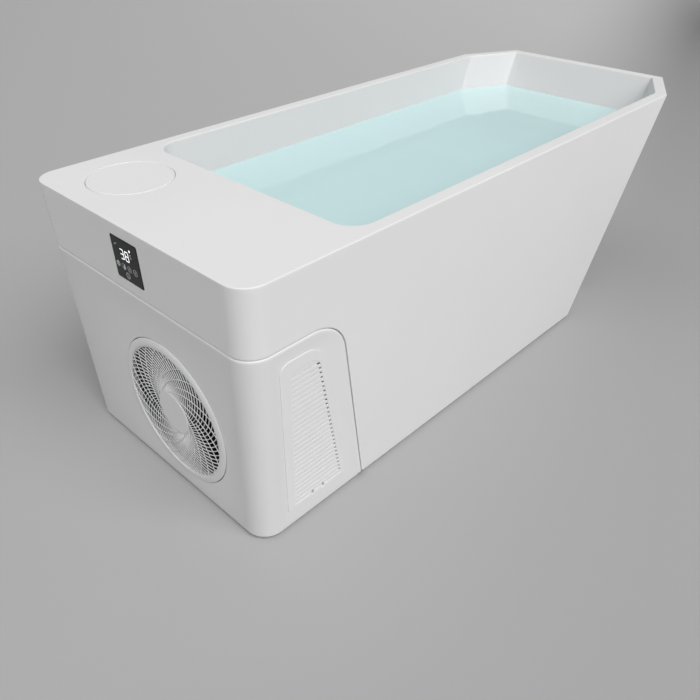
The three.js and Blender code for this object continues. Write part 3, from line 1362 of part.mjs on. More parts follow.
// Control box: hung under the deck, with a stepped lid
const controlX = fromMachineEnd(CONTROL_SETBACK);
const controlTop = deckUnderside - CLEARANCE;
const controlCorners = () => rectangle(
  controlX, CONTROL_INSET - WIDTH / 2, controlX + CONTROL_LENGTH, lidY - filterFlangeRadius - CONTROL_GAP);
const controlOutline = (moveIn) => {
  const radius = CONTROL_RADIUS - moveIn;
  return rounded(inset(controlCorners(), moveIn), [radius, radius, radius, radius], FILLET_STEPS);
};
add(tub, 'control_box', join(
  prism(controlOutline(0), controlTop - CONTROL_HEIGHT, controlTop),
  prism(controlOutline(CONTROL_LID_STEP), controlTop - CONTROL_HEIGHT - CONTROL_LID_STEP, controlTop - BITE),
), BLACK_PLASTIC);

// Cable gland in the far side of the skirt
add(glandGroup, 'cable_gland', turned([
  [GLAND_BORE, -SKIN - GLAND_REACH],
  [GLAND_RADIUS - STUB_WALL, -SKIN - GLAND_REACH],
  [GLAND_RADIUS - STUB_WALL, CLEARANCE],
  [GLAND_RADIUS, CLEARANCE],
  [GLAND_RADIUS, GLAND_REACH / 2],
  [GLAND_RADIUS - STUB_WALL, GLAND_REACH],
  [GLAND_BORE, GLAND_REACH],
  [GLAND_BORE, -SKIN - GLAND_REACH],
], SMALL_SIDES), BLACK_PLASTIC);

export default tub;
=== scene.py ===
"""Cold plunge tub with a chiller bay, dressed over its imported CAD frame.

All lengths are metres in the CAD frame: +X towards the far end, -Y the near side, +Z up, floor at
z = 0 and the origin under the middle of the rim.
"""

import logging
import math
from dataclasses import dataclass
from enum import Enum
from typing import Sequence

import bmesh
import bpy
import numpy as np
from mathutils import Matrix, Vector
from mathutils.geometry import tessellate_polygon


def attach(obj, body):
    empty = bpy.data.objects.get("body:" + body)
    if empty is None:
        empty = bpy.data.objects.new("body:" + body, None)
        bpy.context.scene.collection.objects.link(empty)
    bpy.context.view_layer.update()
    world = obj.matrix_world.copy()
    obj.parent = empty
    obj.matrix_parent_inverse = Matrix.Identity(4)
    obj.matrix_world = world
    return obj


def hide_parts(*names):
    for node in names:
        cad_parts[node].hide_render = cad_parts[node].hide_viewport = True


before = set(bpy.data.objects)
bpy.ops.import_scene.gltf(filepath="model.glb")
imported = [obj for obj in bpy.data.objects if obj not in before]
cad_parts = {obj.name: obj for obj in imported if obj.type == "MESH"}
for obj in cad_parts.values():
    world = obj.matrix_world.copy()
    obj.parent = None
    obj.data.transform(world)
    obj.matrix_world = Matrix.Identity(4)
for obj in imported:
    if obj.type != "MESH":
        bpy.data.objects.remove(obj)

LOG = logging.getLogger("plunge_tub")
Array = np.ndarray


# Geometry helpers
def unit(vectors: Array) -> Array:
    """Vectors scaled to length one along the last axis."""
    return vectors / np.linalg.norm(vectors, axis=-1, keepdims=True)


def line_corner(a: float, p: Array, b: float, q: Array) -> Array:
    """Crossing of two lines given by outward normals and distances from the origin.

    Each line is all points whose dot product with its unit normal is its distance; two such
    equations are solved by the cross product rule.

    Args:
        a: Angle of the first line's normal in radians.
        p: Distance of the first line, any shape.
        b: Angle of the second line's normal in radians.
        q: Distance of the second line, same shape as p.

    Returns:
        Points with a last axis of two.
    """
    p, q = np.broadcast_arrays(np.asarray(p, float), np.asarray(q, float))
    x = p * math.sin(b) - q * math.sin(a)
    y = q * math.cos(a) - p * math.cos(b)
    return np.stack([x, y], axis=-1) / math.sin(b - a)


def convex_loop(
    normals: Sequence[float],
    distances: Array,
    radii: Sequence[float],
    steps: Sequence[int],
    pad: float = 0.0,
) -> tuple[Array, Array]:
    """A convex outline of straight edges and round corners, run anticlockwise.

    A corner's arc has its centre where its two edges, both moved in by the radius, cross, and runs
    between the directions of their normals. A padding point on each straight edge next to an arc
    keeps the flat faces beside it flat when they are shaded.

    Args:
        normals: Directions of the edges' outward normals in radians, rising.
        distances: Edge distances, shape (..., edges).
        radii: Radius of the corner after each edge.
        steps: Number of arc steps of the corner after each edge.
        pad: Distance of the padding points from the arcs, or 0 for none.

    Returns:
        Points of shape (..., stations, 2) and the normal direction of each station.
    """
    distances = np.asarray(distances, float)
    parts, angles = [], []
    count = len(normals)
    for i in range(count):
        j = (i + 1) % count
        a, b = normals[i], normals[j] + (2 * math.pi if j == 0 else 0.0)
        r = radii[i]
        centre = line_corner(a, distances[..., i] - r, b, distances[..., j] - r)
        phi = np.linspace(a, b, steps[i] + 1)
        arc = centre[..., None, :] + r * np.stack([np.cos(phi), np.sin(phi)], axis=-1)
        if pad:
            before = arc[..., :1, :] - pad * np.array([-math.sin(a), math.cos(a)])
            after = arc[..., -1:, :] + pad * np.array([-math.sin(b), math.cos(b)])
            arc = np.concatenate([before, arc, after], axis=-2)
            phi = np.concatenate([[a], phi, [b]])
        parts.append(arc)
        angles.append(phi)
    return np.concatenate(parts, axis=-2), np.concatenate(angles)


def moved_in(loop: Array, distance: float) -> Array:
    """A closed loop of 2-D points, run anticlockwise, moved in by a distance.

    Each point moves along the sum of its two edges' inward normals, divided by one plus their dot
    product, so that both edges move by the full distance.

    Args:
        loop: Points of shape (stations, 2).
        distance: How far to move the edges inwards.

    Returns:
        The moved points.
    """
    edge = unit(np.roll(loop, -1, axis=0) - loop)
    normal = np.stack([-edge[:, 1], edge[:, 0]], axis=-1)
    last = np.roll(normal, 1, axis=0)
    share = 1.0 + np.sum(normal * last, axis=-1, keepdims=True)
    return loop + distance * (normal + last) / share


def quarter_round(radius: float, steps: int) -> Array:
    """Rows of (inset, depth) round an edge, from the face in front to the face behind it.

    Inset falls as radius * (1 - sin a) and depth grows as radius * (1 - cos a) over a right angle.

    Args:
        radius: Radius of the edge.
        steps: Number of steps.

    Returns:
        Array of shape (steps + 1, 2).
    """
    a = np.linspace(0.0, math.pi / 2, steps + 1)
    return np.stack([radius * (1 - np.sin(a)), radius * (1 - np.cos(a))], axis=-1)


@dataclass(frozen=True)
class WallFrame:
    """A flat drawing frame on a wall: right, up and out of the wall, seen from outside."""

    origin: tuple[float, float, float]
    right: tuple[float, float, float]
    up: tuple[float, float, float]

    def place(self, u: Array, v: Array, w: Array | float) -> Array:
        """Points of the frame in the tub's frame: origin + u right + v up + w out.

        Args:
            u: Distances to the right.
            v: Distances up.
            w: Distances out of the wall.

        Returns:
            Points with a last axis of three.
        """
        right, up = np.array(self.right), np.array(self.up)
        out = np.cross(right, up)
        u, v, w = np.broadcast_arrays(u, v, w)
        return np.array(self.origin) + u[..., None] * right + v[..., None] * up + w[..., None] * out

    def rows(self, loop: Array, profile: Array) -> Array:
        """Rows of a loop moved in and out of the wall, one for each (inset, height) of a profile.

        Args:
            loop: Closed 2-D outline in this frame.
            profile: Array of (inset, height out of the wall).

        Returns:
            Points of shape (rows, stations, 3).
        """
        return np.stack([
            self.place(*moved_in(loop, inset).T, height) if inset else self.place(*loop.T, height)
            for inset, height in profile
        ])

    def turned(self, profile: Array, sides: int, centre: tuple[float, float] = (0.0, 0.0)) -> Array:
        """A profile of (radius, height) turned about an axis square to the wall.

        Args:
            profile: Array of (radius, height out of the wall).
            sides: Steps round the axis.
            centre: Axis point in the frame.

        Returns:
            Points of shape (rows, sides, 3).
        """
        phi = np.arange(sides) * 2 * math.pi / sides
        u = centre[0] + profile[:, :1] * np.cos(phi)
        v = centre[1] + profile[:, :1] * np.sin(phi)
        return self.place(u, v, np.repeat(profile[:, 1:], sides, axis=1))


class Surface:
    """A mesh being gathered from grids of points and flat fills."""

    def __init__(self, name: str) -> None:
        """Starts an empty surface with the name of the piece."""
        self.name = name
        self._points: list[Array] = []
        self._faces: list[list[list[int]]] = []
        self._slots: list[Array] = []
        self._count = 0

    def _put(self, points: Array, faces: Array, slot: int) -> None:
        """Adds points and faces that count from the first of them."""
        self._points.append(points.reshape(-1, 3))
        self._faces.append((faces + self._count).tolist())
        self._slots.append(np.full(len(faces), slot))
        self._count += points.size // 3

    def grid(self, points: Array, wrap: bool = False, slot: int = 0) -> None:
        """Adds a grid of quads.

        Args:
            points: Array of shape (rows, columns, 3).
            wrap: Whether the last column joins the first.
            slot: Material slot of the faces.
        """
        rows, columns = points.shape[:2]
        index = np.arange(rows * columns).reshape(rows, columns)
        if wrap:
            index = np.concatenate([index, index[:, :1]], axis=1)
        quads = np.stack([index[:-1, :-1], index[:-1, 1:], index[1:, 1:], index[1:, :-1]], axis=-1)
        self._put(points, quads.reshape(-1, 4), slot)

    def fill(self, outer: Array, holes: Sequence[Array] = (), slot: int = 0) -> None:
        """Fills a flat outline, with holes left open, by triangles.

        A triangle that lies along one straight edge is joined with its neighbour there, and the two
        are parted anew from the middle point of the edge.

        Args:
            outer: Points of the outline, shape (stations, 3).
            holes: Outlines of the holes.
            slot: Material slot of the faces.
        """
        loops = [outer, *holes]
        points = np.concatenate(loops)
        triangles = np.array(tessellate_polygon([loop.tolist() for loop in loops]))
        a, b, c = np.moveaxis(points[triangles], 1, 0)
        for flat in np.flatnonzero(np.linalg.norm(np.cross(b - a, c - a), axis=-1) < 1e-9):
            corners = triangles[flat]
            opposite = np.linalg.norm(points[np.roll(corners, -1)] - points[np.roll(corners, -2)], axis=-1)
            middle, first, last = np.roll(corners, -np.argmax(opposite))
            shared = np.isin(triangles, (first, last))
            other = next(i for i in np.flatnonzero(shared.sum(axis=1) == 2) if i != flat)
            apex = triangles[other][~shared[other]][0]
            triangles[flat], triangles[other] = (first, middle, apex), (middle, last, apex)
        self._put(points, triangles, slot)

    def plate(self, place: WallFrame, outline: Array, low: float, high: float,
              holes: Sequence[Array] = (), slot: int = 0) -> None:
        """Adds a closed flat plate: its outlines stand between two heights and both faces are filled.

        Args:
            place: Frame that the outlines are drawn in.
            outline: Closed 2-D outline.
            low: Height of the back face out of the wall.
            high: Height of the front face.
            holes: Closed 2-D outlines of the holes.
            slot: Material slot of the faces.
        """
        levels = np.array([[0.0, low], [0.0, high]])
        rows = [place.rows(loop, levels) for loop in (outline, *holes)]
        for row in rows:
            self.grid(row, wrap=True, slot=slot)
        for level in (0, 1):
            self.fill(rows[0][level], [row[level] for row in rows[1:]], slot)

    def solids(self, sections: Array, slot: int = 0) -> None:
        """Adds many bars, each a closed section carried along a path and capped at both ends.

        Args:
            sections: Array of shape (bars, stations, corners, 3).
            slot: Material slot of the faces.
        """
        bars, stations, corners = sections.shape[:3]
        index = np.arange(bars * stations * corners).reshape(bars, stations, corners)
        ring = np.concatenate([index, index[:, :, :1]], axis=2)
        quads = np.stack(
            [ring[:, :-1, :-1], ring[:, :-1, 1:], ring[:, 1:, 1:], ring[:, 1:, :-1]], axis=-1)
        self._put(sections, quads.reshape(-1, 4), slot)
        caps = np.concatenate([index[:, 0], index[:, -1]]) - index.size
        self._put(np.zeros((0, 3)), caps, slot)

    def build(
        self,
        materials: Sequence[bpy.types.Material],
        body: str,
        replaces: Sequence[str] = (),
        slot: str = "",
        skin: float = 0.0,
        facing: tuple[float, float, float] | None = None,
        sharp: float = 38.0,
    ) -> bpy.types.Object:
        """Makes the object: merges doubles, turns faces out, shades, dresses and attaches it.

        Args:
            materials: Materials of the slots in order.
            body: CAD body that the piece rides on.
            replaces: CAD nodes that the piece stands for.
            slot: Record's material slot of the piece; not used.
            skin: Thickness given behind the surface, or 0 for a closed solid.
            facing: For an open sheet, a direction in which its outermost face must look.
            sharp: Angle in degrees above which an edge is shaded sharp.

        Returns:
            The finished object.
        """
        mesh = bpy.data.meshes.new(self.name)
        faces = [face for part in self._faces for face in part]
        mesh.from_pydata(np.concatenate(self._points).tolist(), [], faces)
        mesh.polygons.foreach_set("material_index", np.concatenate(self._slots).astype(np.int32))
        shape = bmesh.new()
        shape.from_mesh(mesh)
        bmesh.ops.remove_doubles(shape, verts=shape.verts, dist=5e-6)
        bmesh.ops.dissolve_degenerate(shape, edges=shape.edges, dist=1e-6)
        bmesh.ops.recalc_face_normals(shape, faces=shape.faces)
        if facing is not None:
            way = Vector(facing)
            outermost = max(shape.faces, key=lambda f: f.calc_center_median().dot(way))
            if outermost.normal.dot(way) < 0:
                bmesh.ops.reverse_faces(shape, faces=shape.faces)
        shape.to_mesh(mesh)
        shape.free()
        for material in materials:
            mesh.materials.append(material)
        piece = bpy.data.objects.new(self.name, mesh)
        bpy.context.scene.collection.objects.link(piece)
        if skin:
            mesh = self._thicken(piece, skin)
        mesh.shade_smooth()
        mesh.set_sharp_from_angle(angle=math.radians(sharp))
        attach(piece, body)
        if replaces:
            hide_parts(*replaces)
        LOG.info("%s: %d points, %d faces", self.name, len(mesh.vertices), len(mesh.polygons))
        return piece

    @staticmethod
    def _thicken(piece: bpy.types.Object, skin: float) -> bpy.types.Mesh:
        """Gives an open sheet its thickness behind the surface, closed along its edges.

        Args:
            piece: Object whose mesh is the outer surface.
            skin: Thickness.

        Returns:
            The piece's new mesh.
        """
        wall = piece.modifiers.new("wall", "SOLIDIFY")
        wall.thickness, wall.offset, wall.use_rim = skin, -1.0, True
        graph = bpy.context.evaluated_depsgraph_get()
        thick = bpy.data.meshes.new_from_object(piece.evaluated_get(graph))
        sheet = piece.data
        piece.modifiers.clear()
        piece.data = thick
        bpy.data.meshes.remove(sheet)
        thick.name = piece.name
        return thick


# Finishes
class Texture(Enum):
    """The small-scale relief of a finish."""

    GELCOAT = "gelcoat"
    MOULDED = "moulded"
    BRUSHED = "brushed"
    CAST = "cast"
    PLY = "ply"


@dataclass(frozen=True)
class Finish:
    """A procedural finish: base colour, gloss and a fine relief with mottled colour and wear."""

    name: str
    colour: tuple[float, float, float]
    roughness: float
    metallic: float = 0.0
    coat: float = 0.0
    texture: Texture = Texture.MOULDED
    grain: float = 900.0
    relief: float = 0.05
    mottle: float = 0.03
    rough_span: float = 0.06
    ior: float = 1.5

    def make(self) -> bpy.types.Material:
        """Builds the node tree: two noises on Object coordinates drive colour, gloss and relief.

        Returns:
            The material.
        """
        material = bpy.data.materials.new(self.name)
        material.use_nodes = True
        tree = material.node_tree
        shader = tree.nodes["Principled BSDF"]
        shader.inputs["Metallic"].default_value = self.metallic
        shader.inputs["IOR"].default_value = self.ior
        shader.inputs["Coat Weight"].default_value = self.coat
        shader.inputs["Coat Roughness"].default_value = 0.08
        where = tree.nodes.new("ShaderNodeTexCoord")
        mapping = tree.nodes.new("ShaderNodeMapping")
        tree.links.new(where.outputs["Object"], mapping.inputs["Vector"])
        if self.texture is Texture.BRUSHED:
            mapping.inputs["Scale"].default_value = (0.06, 1.0, 1.0)
        if self.texture is Texture.PLY:
            mapping.inputs["Scale"].default_value = (0.05, 0.6, 4.0)
        cloud = self._noise(tree, mapping, 3.0 if self.texture is not Texture.PLY else 60.0, 3.0)
        fine = self._noise(tree, mapping, self.grain, 2.0)
        self._colour(tree, shader, cloud)
        gloss = tree.nodes.new("ShaderNodeMapRange")
        gloss.inputs["From Min"].default_value = 0.3
        gloss.inputs["From Max"].default_value = 0.7
        gloss.inputs["To Min"].default_value = max(0.02, self.roughness - self.rough_span / 2)
        gloss.inputs["To Max"].default_value = self.roughness + self.rough_span / 2
        tree.links.new(cloud.outputs["Fac"], gloss.inputs["Value"])
        tree.links.new(gloss.outputs["Result"], shader.inputs["Roughness"])
        bump = tree.nodes.new("ShaderNodeBump")
        bump.inputs["Strength"].default_value = self.relief
        bump.inputs["Distance"].default_value = 0.0006
        tree.links.new(fine.outputs["Fac"], bump.inputs["Height"])
        tree.links.new(bump.outputs["Normal"], shader.inputs["Normal"])
        return material

    @staticmethod
    def _noise(
        tree: bpy.types.NodeTree, mapping: bpy.types.Node, scale: float, detail: float
    ) -> bpy.types.Node:
        """A noise texture of the given scale and detail, read through a mapping."""
        noise = tree.nodes.new("ShaderNodeTexNoise")
        noise.inputs["Scale"].default_value = scale
        noise.inputs["Detail"].default_value = detail
        tree.links.new(mapping.outputs["Vector"], noise.inputs["Vector"])
        return noise

    def _colour(
        self, tree: bpy.types.NodeTree, shader: bpy.types.Node, cloud: bpy.types.Node
    ) -> None:
        """Links a colour ramp between a darker and a lighter shade of the base colour."""
        ramp = tree.nodes.new("ShaderNodeValToRGB")
        dark, light = ramp.color_ramp.elements
        dark.position, light.position = 0.3, 0.7
        dark.color = (*(c * (1 - self.mottle) for c in self.colour), 1.0)
        light.color = (*(min(1.0, c * (1 + self.mottle / 2)) for c in self.colour), 1.0)
        tree.links.new(cloud.outputs["Fac"], ramp.inputs["Fac"])
        tree.links.new(ramp.outputs["Color"], shader.inputs["Base Color"])


@dataclass(frozen=True)
class WaterFinish:
    """Clear pool water: a refracting, gently rippled surface over see-through sides."""

    name: str = "pool_water"
    tint: tuple[float, float, float] = (0.57, 0.765, 0.775)
    clearness: float = 0.15
    ripple: float = 0.40

    def make(self) -> bpy.types.Material:
        """Builds the surface: tinted and partly clear, with light let through to the basin below.

        Returns:
            The material.
        """
        material = bpy.data.materials.new(self.name)
        material.use_nodes = True
        tree = material.node_tree
        shader = tree.nodes["Principled BSDF"]
        shader.inputs["Base Color"].default_value = (*self.tint, 1.0)
        shader.inputs["Roughness"].default_value = 0.03
        shader.inputs["IOR"].default_value = 1.333
        shader.inputs["Transmission Weight"].default_value = self.clearness
        where = tree.nodes.new("ShaderNodeTexCoord")
        stretch = tree.nodes.new("ShaderNodeMapping")
        stretch.inputs["Rotation"].default_value = (0.0, 0.0, 0.5)
        stretch.inputs["Scale"].default_value = (1.0, 0.4, 1.0)
        noise = tree.nodes.new("ShaderNodeTexNoise")
        noise.inputs["Scale"].default_value = 9.0
        noise.inputs["Detail"].default_value = 1.0
        tree.links.new(where.outputs["Object"], stretch.inputs["Vector"])
        tree.links.new(stretch.outputs["Vector"], noise.inputs["Vector"])
        bump = tree.nodes.new("ShaderNodeBump")
        bump.inputs["Strength"].default_value = self.ripple
        bump.inputs["Distance"].default_value = 0.004
        tree.links.new(noise.outputs["Fac"], bump.inputs["Height"])
        tree.links.new(bump.outputs["Normal"], shader.inputs["Normal"])
        path = tree.nodes.new("ShaderNodeLightPath")
        clear = tree.nodes.new("ShaderNodeBsdfTransparent")
        clear.inputs["Color"].default_value = (*(c ** 0.5 for c in self.tint), 1.0)
        either = tree.nodes.new("ShaderNodeMath")
        either.operation = "MAXIMUM"
        tree.links.new(path.outputs["Is Shadow Ray"], either.inputs[0])
        tree.links.new(path.outputs["Is Diffuse Ray"], either.inputs[1])
        mix = tree.nodes.new("ShaderNodeMixShader")
        tree.links.new(either.outputs[0], mix.inputs["Fac"])
        tree.links.new(shader.outputs["BSDF"], mix.inputs[1])
        tree.links.new(clear.outputs["BSDF"], mix.inputs[2])
        tree.links.new(mix.outputs["Shader"], tree.nodes["Material Output"].inputs["Surface"])
        return material

    def make_sides(self) -> bpy.types.Material:
        """Builds the see-through sides and bottom of the water.

        Returns:
            The material.
        """
        material = bpy.data.materials.new(self.name + "_sides")
        material.use_nodes = True
        tree = material.node_tree
        clear = tree.nodes.new("ShaderNodeBsdfTransparent")
        tree.links.new(clear.outputs["BSDF"], tree.nodes["Material Output"].inputs["Surface"])
        return material


@dataclass(frozen=True)
class GlowFinish:
    """A lit sign behind glass."""

    name: str
    colour: tuple[float, float, float]
    strength: float

    def make(self) -> bpy.types.Material:
        """Builds a dim diffuser that also emits its colour.

        Returns:
            The material.
        """
        material = bpy.data.materials.new(self.name)
        material.use_nodes = True
        shader = material.node_tree.nodes["Principled BSDF"]
        shader.inputs["Base Color"].default_value = (*self.colour, 1.0)
        shader.inputs["Roughness"].default_value = 0.4
        shader.inputs["Emission Color"].default_value = (*self.colour, 1.0)
        shader.inputs["Emission Strength"].default_value = self.strength
        return material


class Palette:
    """The finishes of the tub, each made once."""

    def __init__(self) -> None:
        """Makes all the materials."""
        shell = Finish("gloss_shell", (0.80, 0.80, 0.80), 0.34, coat=0.05,
                       texture=Texture.GELCOAT, grain=260.0, relief=0.03, mottle=0.012)
        cover = Finish("satin_cover", (0.78, 0.78, 0.78), 0.38, grain=1800.0, relief=0.10, mottle=0.015)
        self.shell = shell.make()
        self.cover = cover.make()
        self.glass = Finish("display_black", (0.012, 0.012, 0.013), 0.16, grain=40.0,
                            relief=0.01, mottle=0.05, rough_span=0.04, ior=1.25).make()
        self.digit = GlowFinish("digit_glow", (0.93, 0.96, 1.0), 0.85).make()
        # The unlit icons emit too: a faint grey painted glow.
        self.icon = GlowFinish("icon_glow", (0.10, 0.10, 0.105), 1.0).make()
        self.bright_icon = GlowFinish("bright_icon_glow", (0.20, 0.205, 0.21), 1.0).make()
        self.water = WaterFinish().make()
        self.water_sides = WaterFinish().make_sides()
        self.slots = {
            "zinc_steel": Finish("zinc_steel", (0.52, 0.53, 0.54), 0.42, metallic=0.9,
                                 texture=Texture.BRUSHED, grain=700.0, relief=0.12, mottle=0.12),
            "black_steel": Finish("black_steel", (0.020, 0.021, 0.022), 0.45, grain=1400.0,
                                  relief=0.25, mottle=0.2),
            "coil_aluminium": Finish("coil_aluminium", (0.58, 0.60, 0.62), 0.45, metallic=0.95,
                                     texture=Texture.BRUSHED, grain=900.0, relief=0.2, mottle=0.1),
            "copper_line": Finish("copper_line", (0.62, 0.27, 0.13), 0.32, metallic=1.0,
                                  texture=Texture.BRUSHED, grain=500.0, relief=0.05, mottle=0.2),
            "black_rubber": Finish("black_rubber", (0.018, 0.018, 0.018), 0.78, grain=1600.0,
                                   relief=0.35, mottle=0.25),
            "pipe_grey": Finish("pipe_grey", (0.55, 0.56, 0.56), 0.42, grain=600.0, relief=0.05,
                                mottle=0.05),
            "black_plastic": Finish("black_plastic", (0.022, 0.023, 0.025), 0.50, grain=2200.0,
                                    relief=0.25, mottle=0.15),
            "fitting_chrome": Finish("fitting_chrome", (0.72, 0.73, 0.74), 0.12, metallic=1.0,
                                     grain=300.0, relief=0.02, mottle=0.04, rough_span=0.06),
            "plywood": Finish("plywood", (0.42, 0.27, 0.13), 0.7, texture=Texture.PLY, grain=240.0,
                              relief=0.3, mottle=0.25),
            "filter_paper": Finish("filter_paper", (0.66, 0.72, 0.76), 0.85, grain=1500.0,
                                   relief=0.5, mottle=0.08),
            "circuit_green": Finish("circuit_green", (0.012, 0.09, 0.04), 0.45, grain=500.0,
                                    relief=0.1, mottle=0.3),
        }
        self.made = {name: finish.make() for name, finish in self.slots.items()}


# The tub's form
@dataclass(frozen=True)
class TubForm:
    """Sizes of the body and the points that its walls, seam and openings pass through."""

    length: float = 1.700
    width: float = 0.700
    height: float = 0.620
    end_lean: float = 0.009
    side_lean: float = 0.024
    far_lean: float = 0.297
    chamfer_x: float = 0.175
    chamfer_y: float = 0.090
    corner: float = 0.050
    chamfer_round: float = 0.006
    edge: float = 0.0016
    lean_height: float = 0.615
    skirt: float = 0.004
    foot_edge: float = 0.008
    rim: float = 0.032
    deck: float = 0.282
    basin_floor: float = 0.165
    near_lean: float = 0.076
    basin_corner: float = 0.055
    basin_round: float = 0.010
    floor_round: float = 0.025
    seam_drop: float = 0.143
    seam_foot: float = 0.307
    seam_lean: float = 0.104
    seam_round: float = 0.090
    seam_gap: float = 0.0019
    seam_side_gap: float = 0.0022
    skin: float = 0.002
    turn_in: float = 0.006
    pad: float = 0.004
    corner_steps: int = 10

    @property
    def start(self) -> float:
        """Machine end's x at the rim."""
        return -self.length / 2

    def fall(self, z: Array | float) -> Array | float:
        """Share of a wall's lean at height z: 1 at the floor, 0 at the height where the lean ends."""
        return 1 - np.asarray(z) / self.lean_height

    def side_y(self, z: Array | float) -> Array:
        """Half width at height z."""
        return self.width / 2 - self.side_lean * self.fall(z)

    def end_x(self, z: Array | float) -> Array:
        """Machine end's x at height z."""
        return self.start + self.end_lean * self.fall(z)

    def far_x(self, z: Array | float) -> Array:
        """Far end's x at height z."""
        return self.start + self.length - self.far_lean * self.fall(z)

    def basin_x(self, z: Array | float) -> Array:
        """Basin's near wall's x at height z."""
        lean = self.near_lean / (self.height - self.basin_floor)
        return self.start + self.deck + lean * (self.height - np.asarray(z))

    @property
    def normals(self) -> list[float]:
        """Directions of the six walls' normals: near side, chamfer, far end, chamfer, far side, machine end."""
        chamfer = math.atan2(self.chamfer_x, self.chamfer_y)
        return [-math.pi / 2, -chamfer, 0.0, chamfer, math.pi / 2, math.pi]

    def distances(self, z: Array, inset: Array | float, near: Array) -> Array:
        """Distances of the six walls from the origin, at heights z, moved in by an inset.

        Args:
            z: Heights, shape (rows,).
            inset: Distance that every wall but the machine-end one moves in, shape (rows,) or one.
            near: Distance of the machine-end wall, shape (rows,).

        Returns:
            Array of shape (rows, 6).
        """
        chamfer = math.atan2(self.chamfer_x, self.chamfer_y)
        side, far = self.side_y(z), self.far_x(z)
        slant = math.cos(chamfer) * far + math.sin(chamfer) * (side - self.chamfer_y)
        return np.stack([side, slant, far, slant, side, near], axis=-1) - np.stack(
            [np.broadcast_to(inset, side.shape)] * 5 + [np.zeros_like(side)], axis=-1)

    def body_loop(self, z: Array, inset: Array) -> tuple[Array, Array]:
        """Outer outline at heights z, moved in by an inset; it is upright where the lean has ended.

        Args:
            z: Heights, shape (rows,).
            inset: Insets, shape (rows,).

        Returns:
            Points of shape (rows, stations, 3) and the stations' normal directions.
        """
        z, inset = np.asarray(z, float), np.asarray(inset, float)
        leaning = np.minimum(z, self.lean_height)
        small, big = self.chamfer_round, self.corner
        loops = [
            convex_loop(
                self.normals,
                self.distances(leaning[i:i + 1], inset[i], -self.end_x(leaning[i:i + 1]) - inset[i]),
                [max(r - inset[i], 0.0005) for r in (small, small, small, small, big, big)],
                [4, 4, 4, 4, self.corner_steps, self.corner_steps], self.pad)
            for i in range(len(z))
        ]
        flat = np.concatenate([loop for loop, _ in loops])
        height = np.broadcast_to(z[:, None, None], (*flat.shape[:2], 1))
        return np.concatenate([flat, height], axis=-1), loops[0][1]

    def basin_loop(self, z: Array, inset: Array) -> Array:
        """Inner outline of the basin at heights z, moved in by an inset.

        Args:
            z: Heights, shape (rows,).
            inset: Insets, negative to grow, shape (rows,).

        Returns:
            Points of shape (rows, stations, 3).
        """
        z, inset = np.asarray(z, float), np.asarray(inset, float)
        small, big = self.basin_round, self.basin_corner
        flat = np.concatenate([
            convex_loop(
                self.normals,
                self.distances(z[i:i + 1], self.rim + inset[i], -self.basin_x(z[i:i + 1]) - inset[i]),
                [max(r - inset[i], 0.002) for r in (small, small, small, small, big, big)],
                [4, 4, 4, 4, self.corner_steps, self.corner_steps], self.pad)[0]
            for i in range(len(z))
        ])
        height = np.broadcast_to(z[:, None, None], (*flat.shape[:2], 1))
        return np.concatenate([flat, height], axis=-1)

    def foot(self, pick: slice, first: Array, last: Array) -> Array:
        """Rows round the walls' foot: a quarter round from the wall to its lower edge, then inwards.

        Args:
            pick: Stations of the outline that the foot runs along.
            first: Wall point beside the seam, before them.
            last: Wall point beside the seam, after them.

        Returns:
            Points of shape (rows, stations + 2, 3).
        """
        rounding = quarter_round(self.foot_edge, 4)
        z = self.skirt + np.append(rounding[:, 0], 0.0)
        inset = np.append(rounding[:, 1], self.foot_edge + self.turn_in)
        rows = self.body_loop(z, inset)[0][:, pick]
        before, after = (
            (point + np.stack([0 * z, -np.sign(point[1]) * inset, z - z[0]], axis=-1))[:, None]
            for point in (first, last))
        return np.concatenate([before, rows, after], axis=1)

    # Station numbers of the loop: each corner has two padding points and its arc
    @property
    def small_count(self) -> int:
        """Stations of one chamfer corner."""
        return 7

    @property
    def machine_start(self) -> int:
        """First station of the far machine-end corner."""
        return 4 * self.small_count

    @property
    def corner_count(self) -> int:
        """Stations of one machine-end corner."""
        return self.corner_steps + 3

    def end_frame(self, y: float, z: float) -> WallFrame:
        """Drawing frame on the machine end at a height and a sideways place."""
        tilt = math.atan2(self.end_lean, self.lean_height)
        return WallFrame((float(self.end_x(z)), y, z), (0.0, -1.0, 0.0), (-math.sin(tilt), 0.0, math.cos(tilt)))

    def side_frame(self, z: float, near: bool) -> WallFrame:
        """Drawing frame on a side wall, at the machine end and height z; u runs along +X on both."""
        tilt = math.atan2(self.side_lean, self.lean_height)
        sign = -1.0 if near else 1.0
        return WallFrame(
            (self.start, sign * float(self.side_y(z)), z), (1.0, 0.0, 0.0),
            (0.0, sign * math.sin(tilt), math.cos(tilt)))

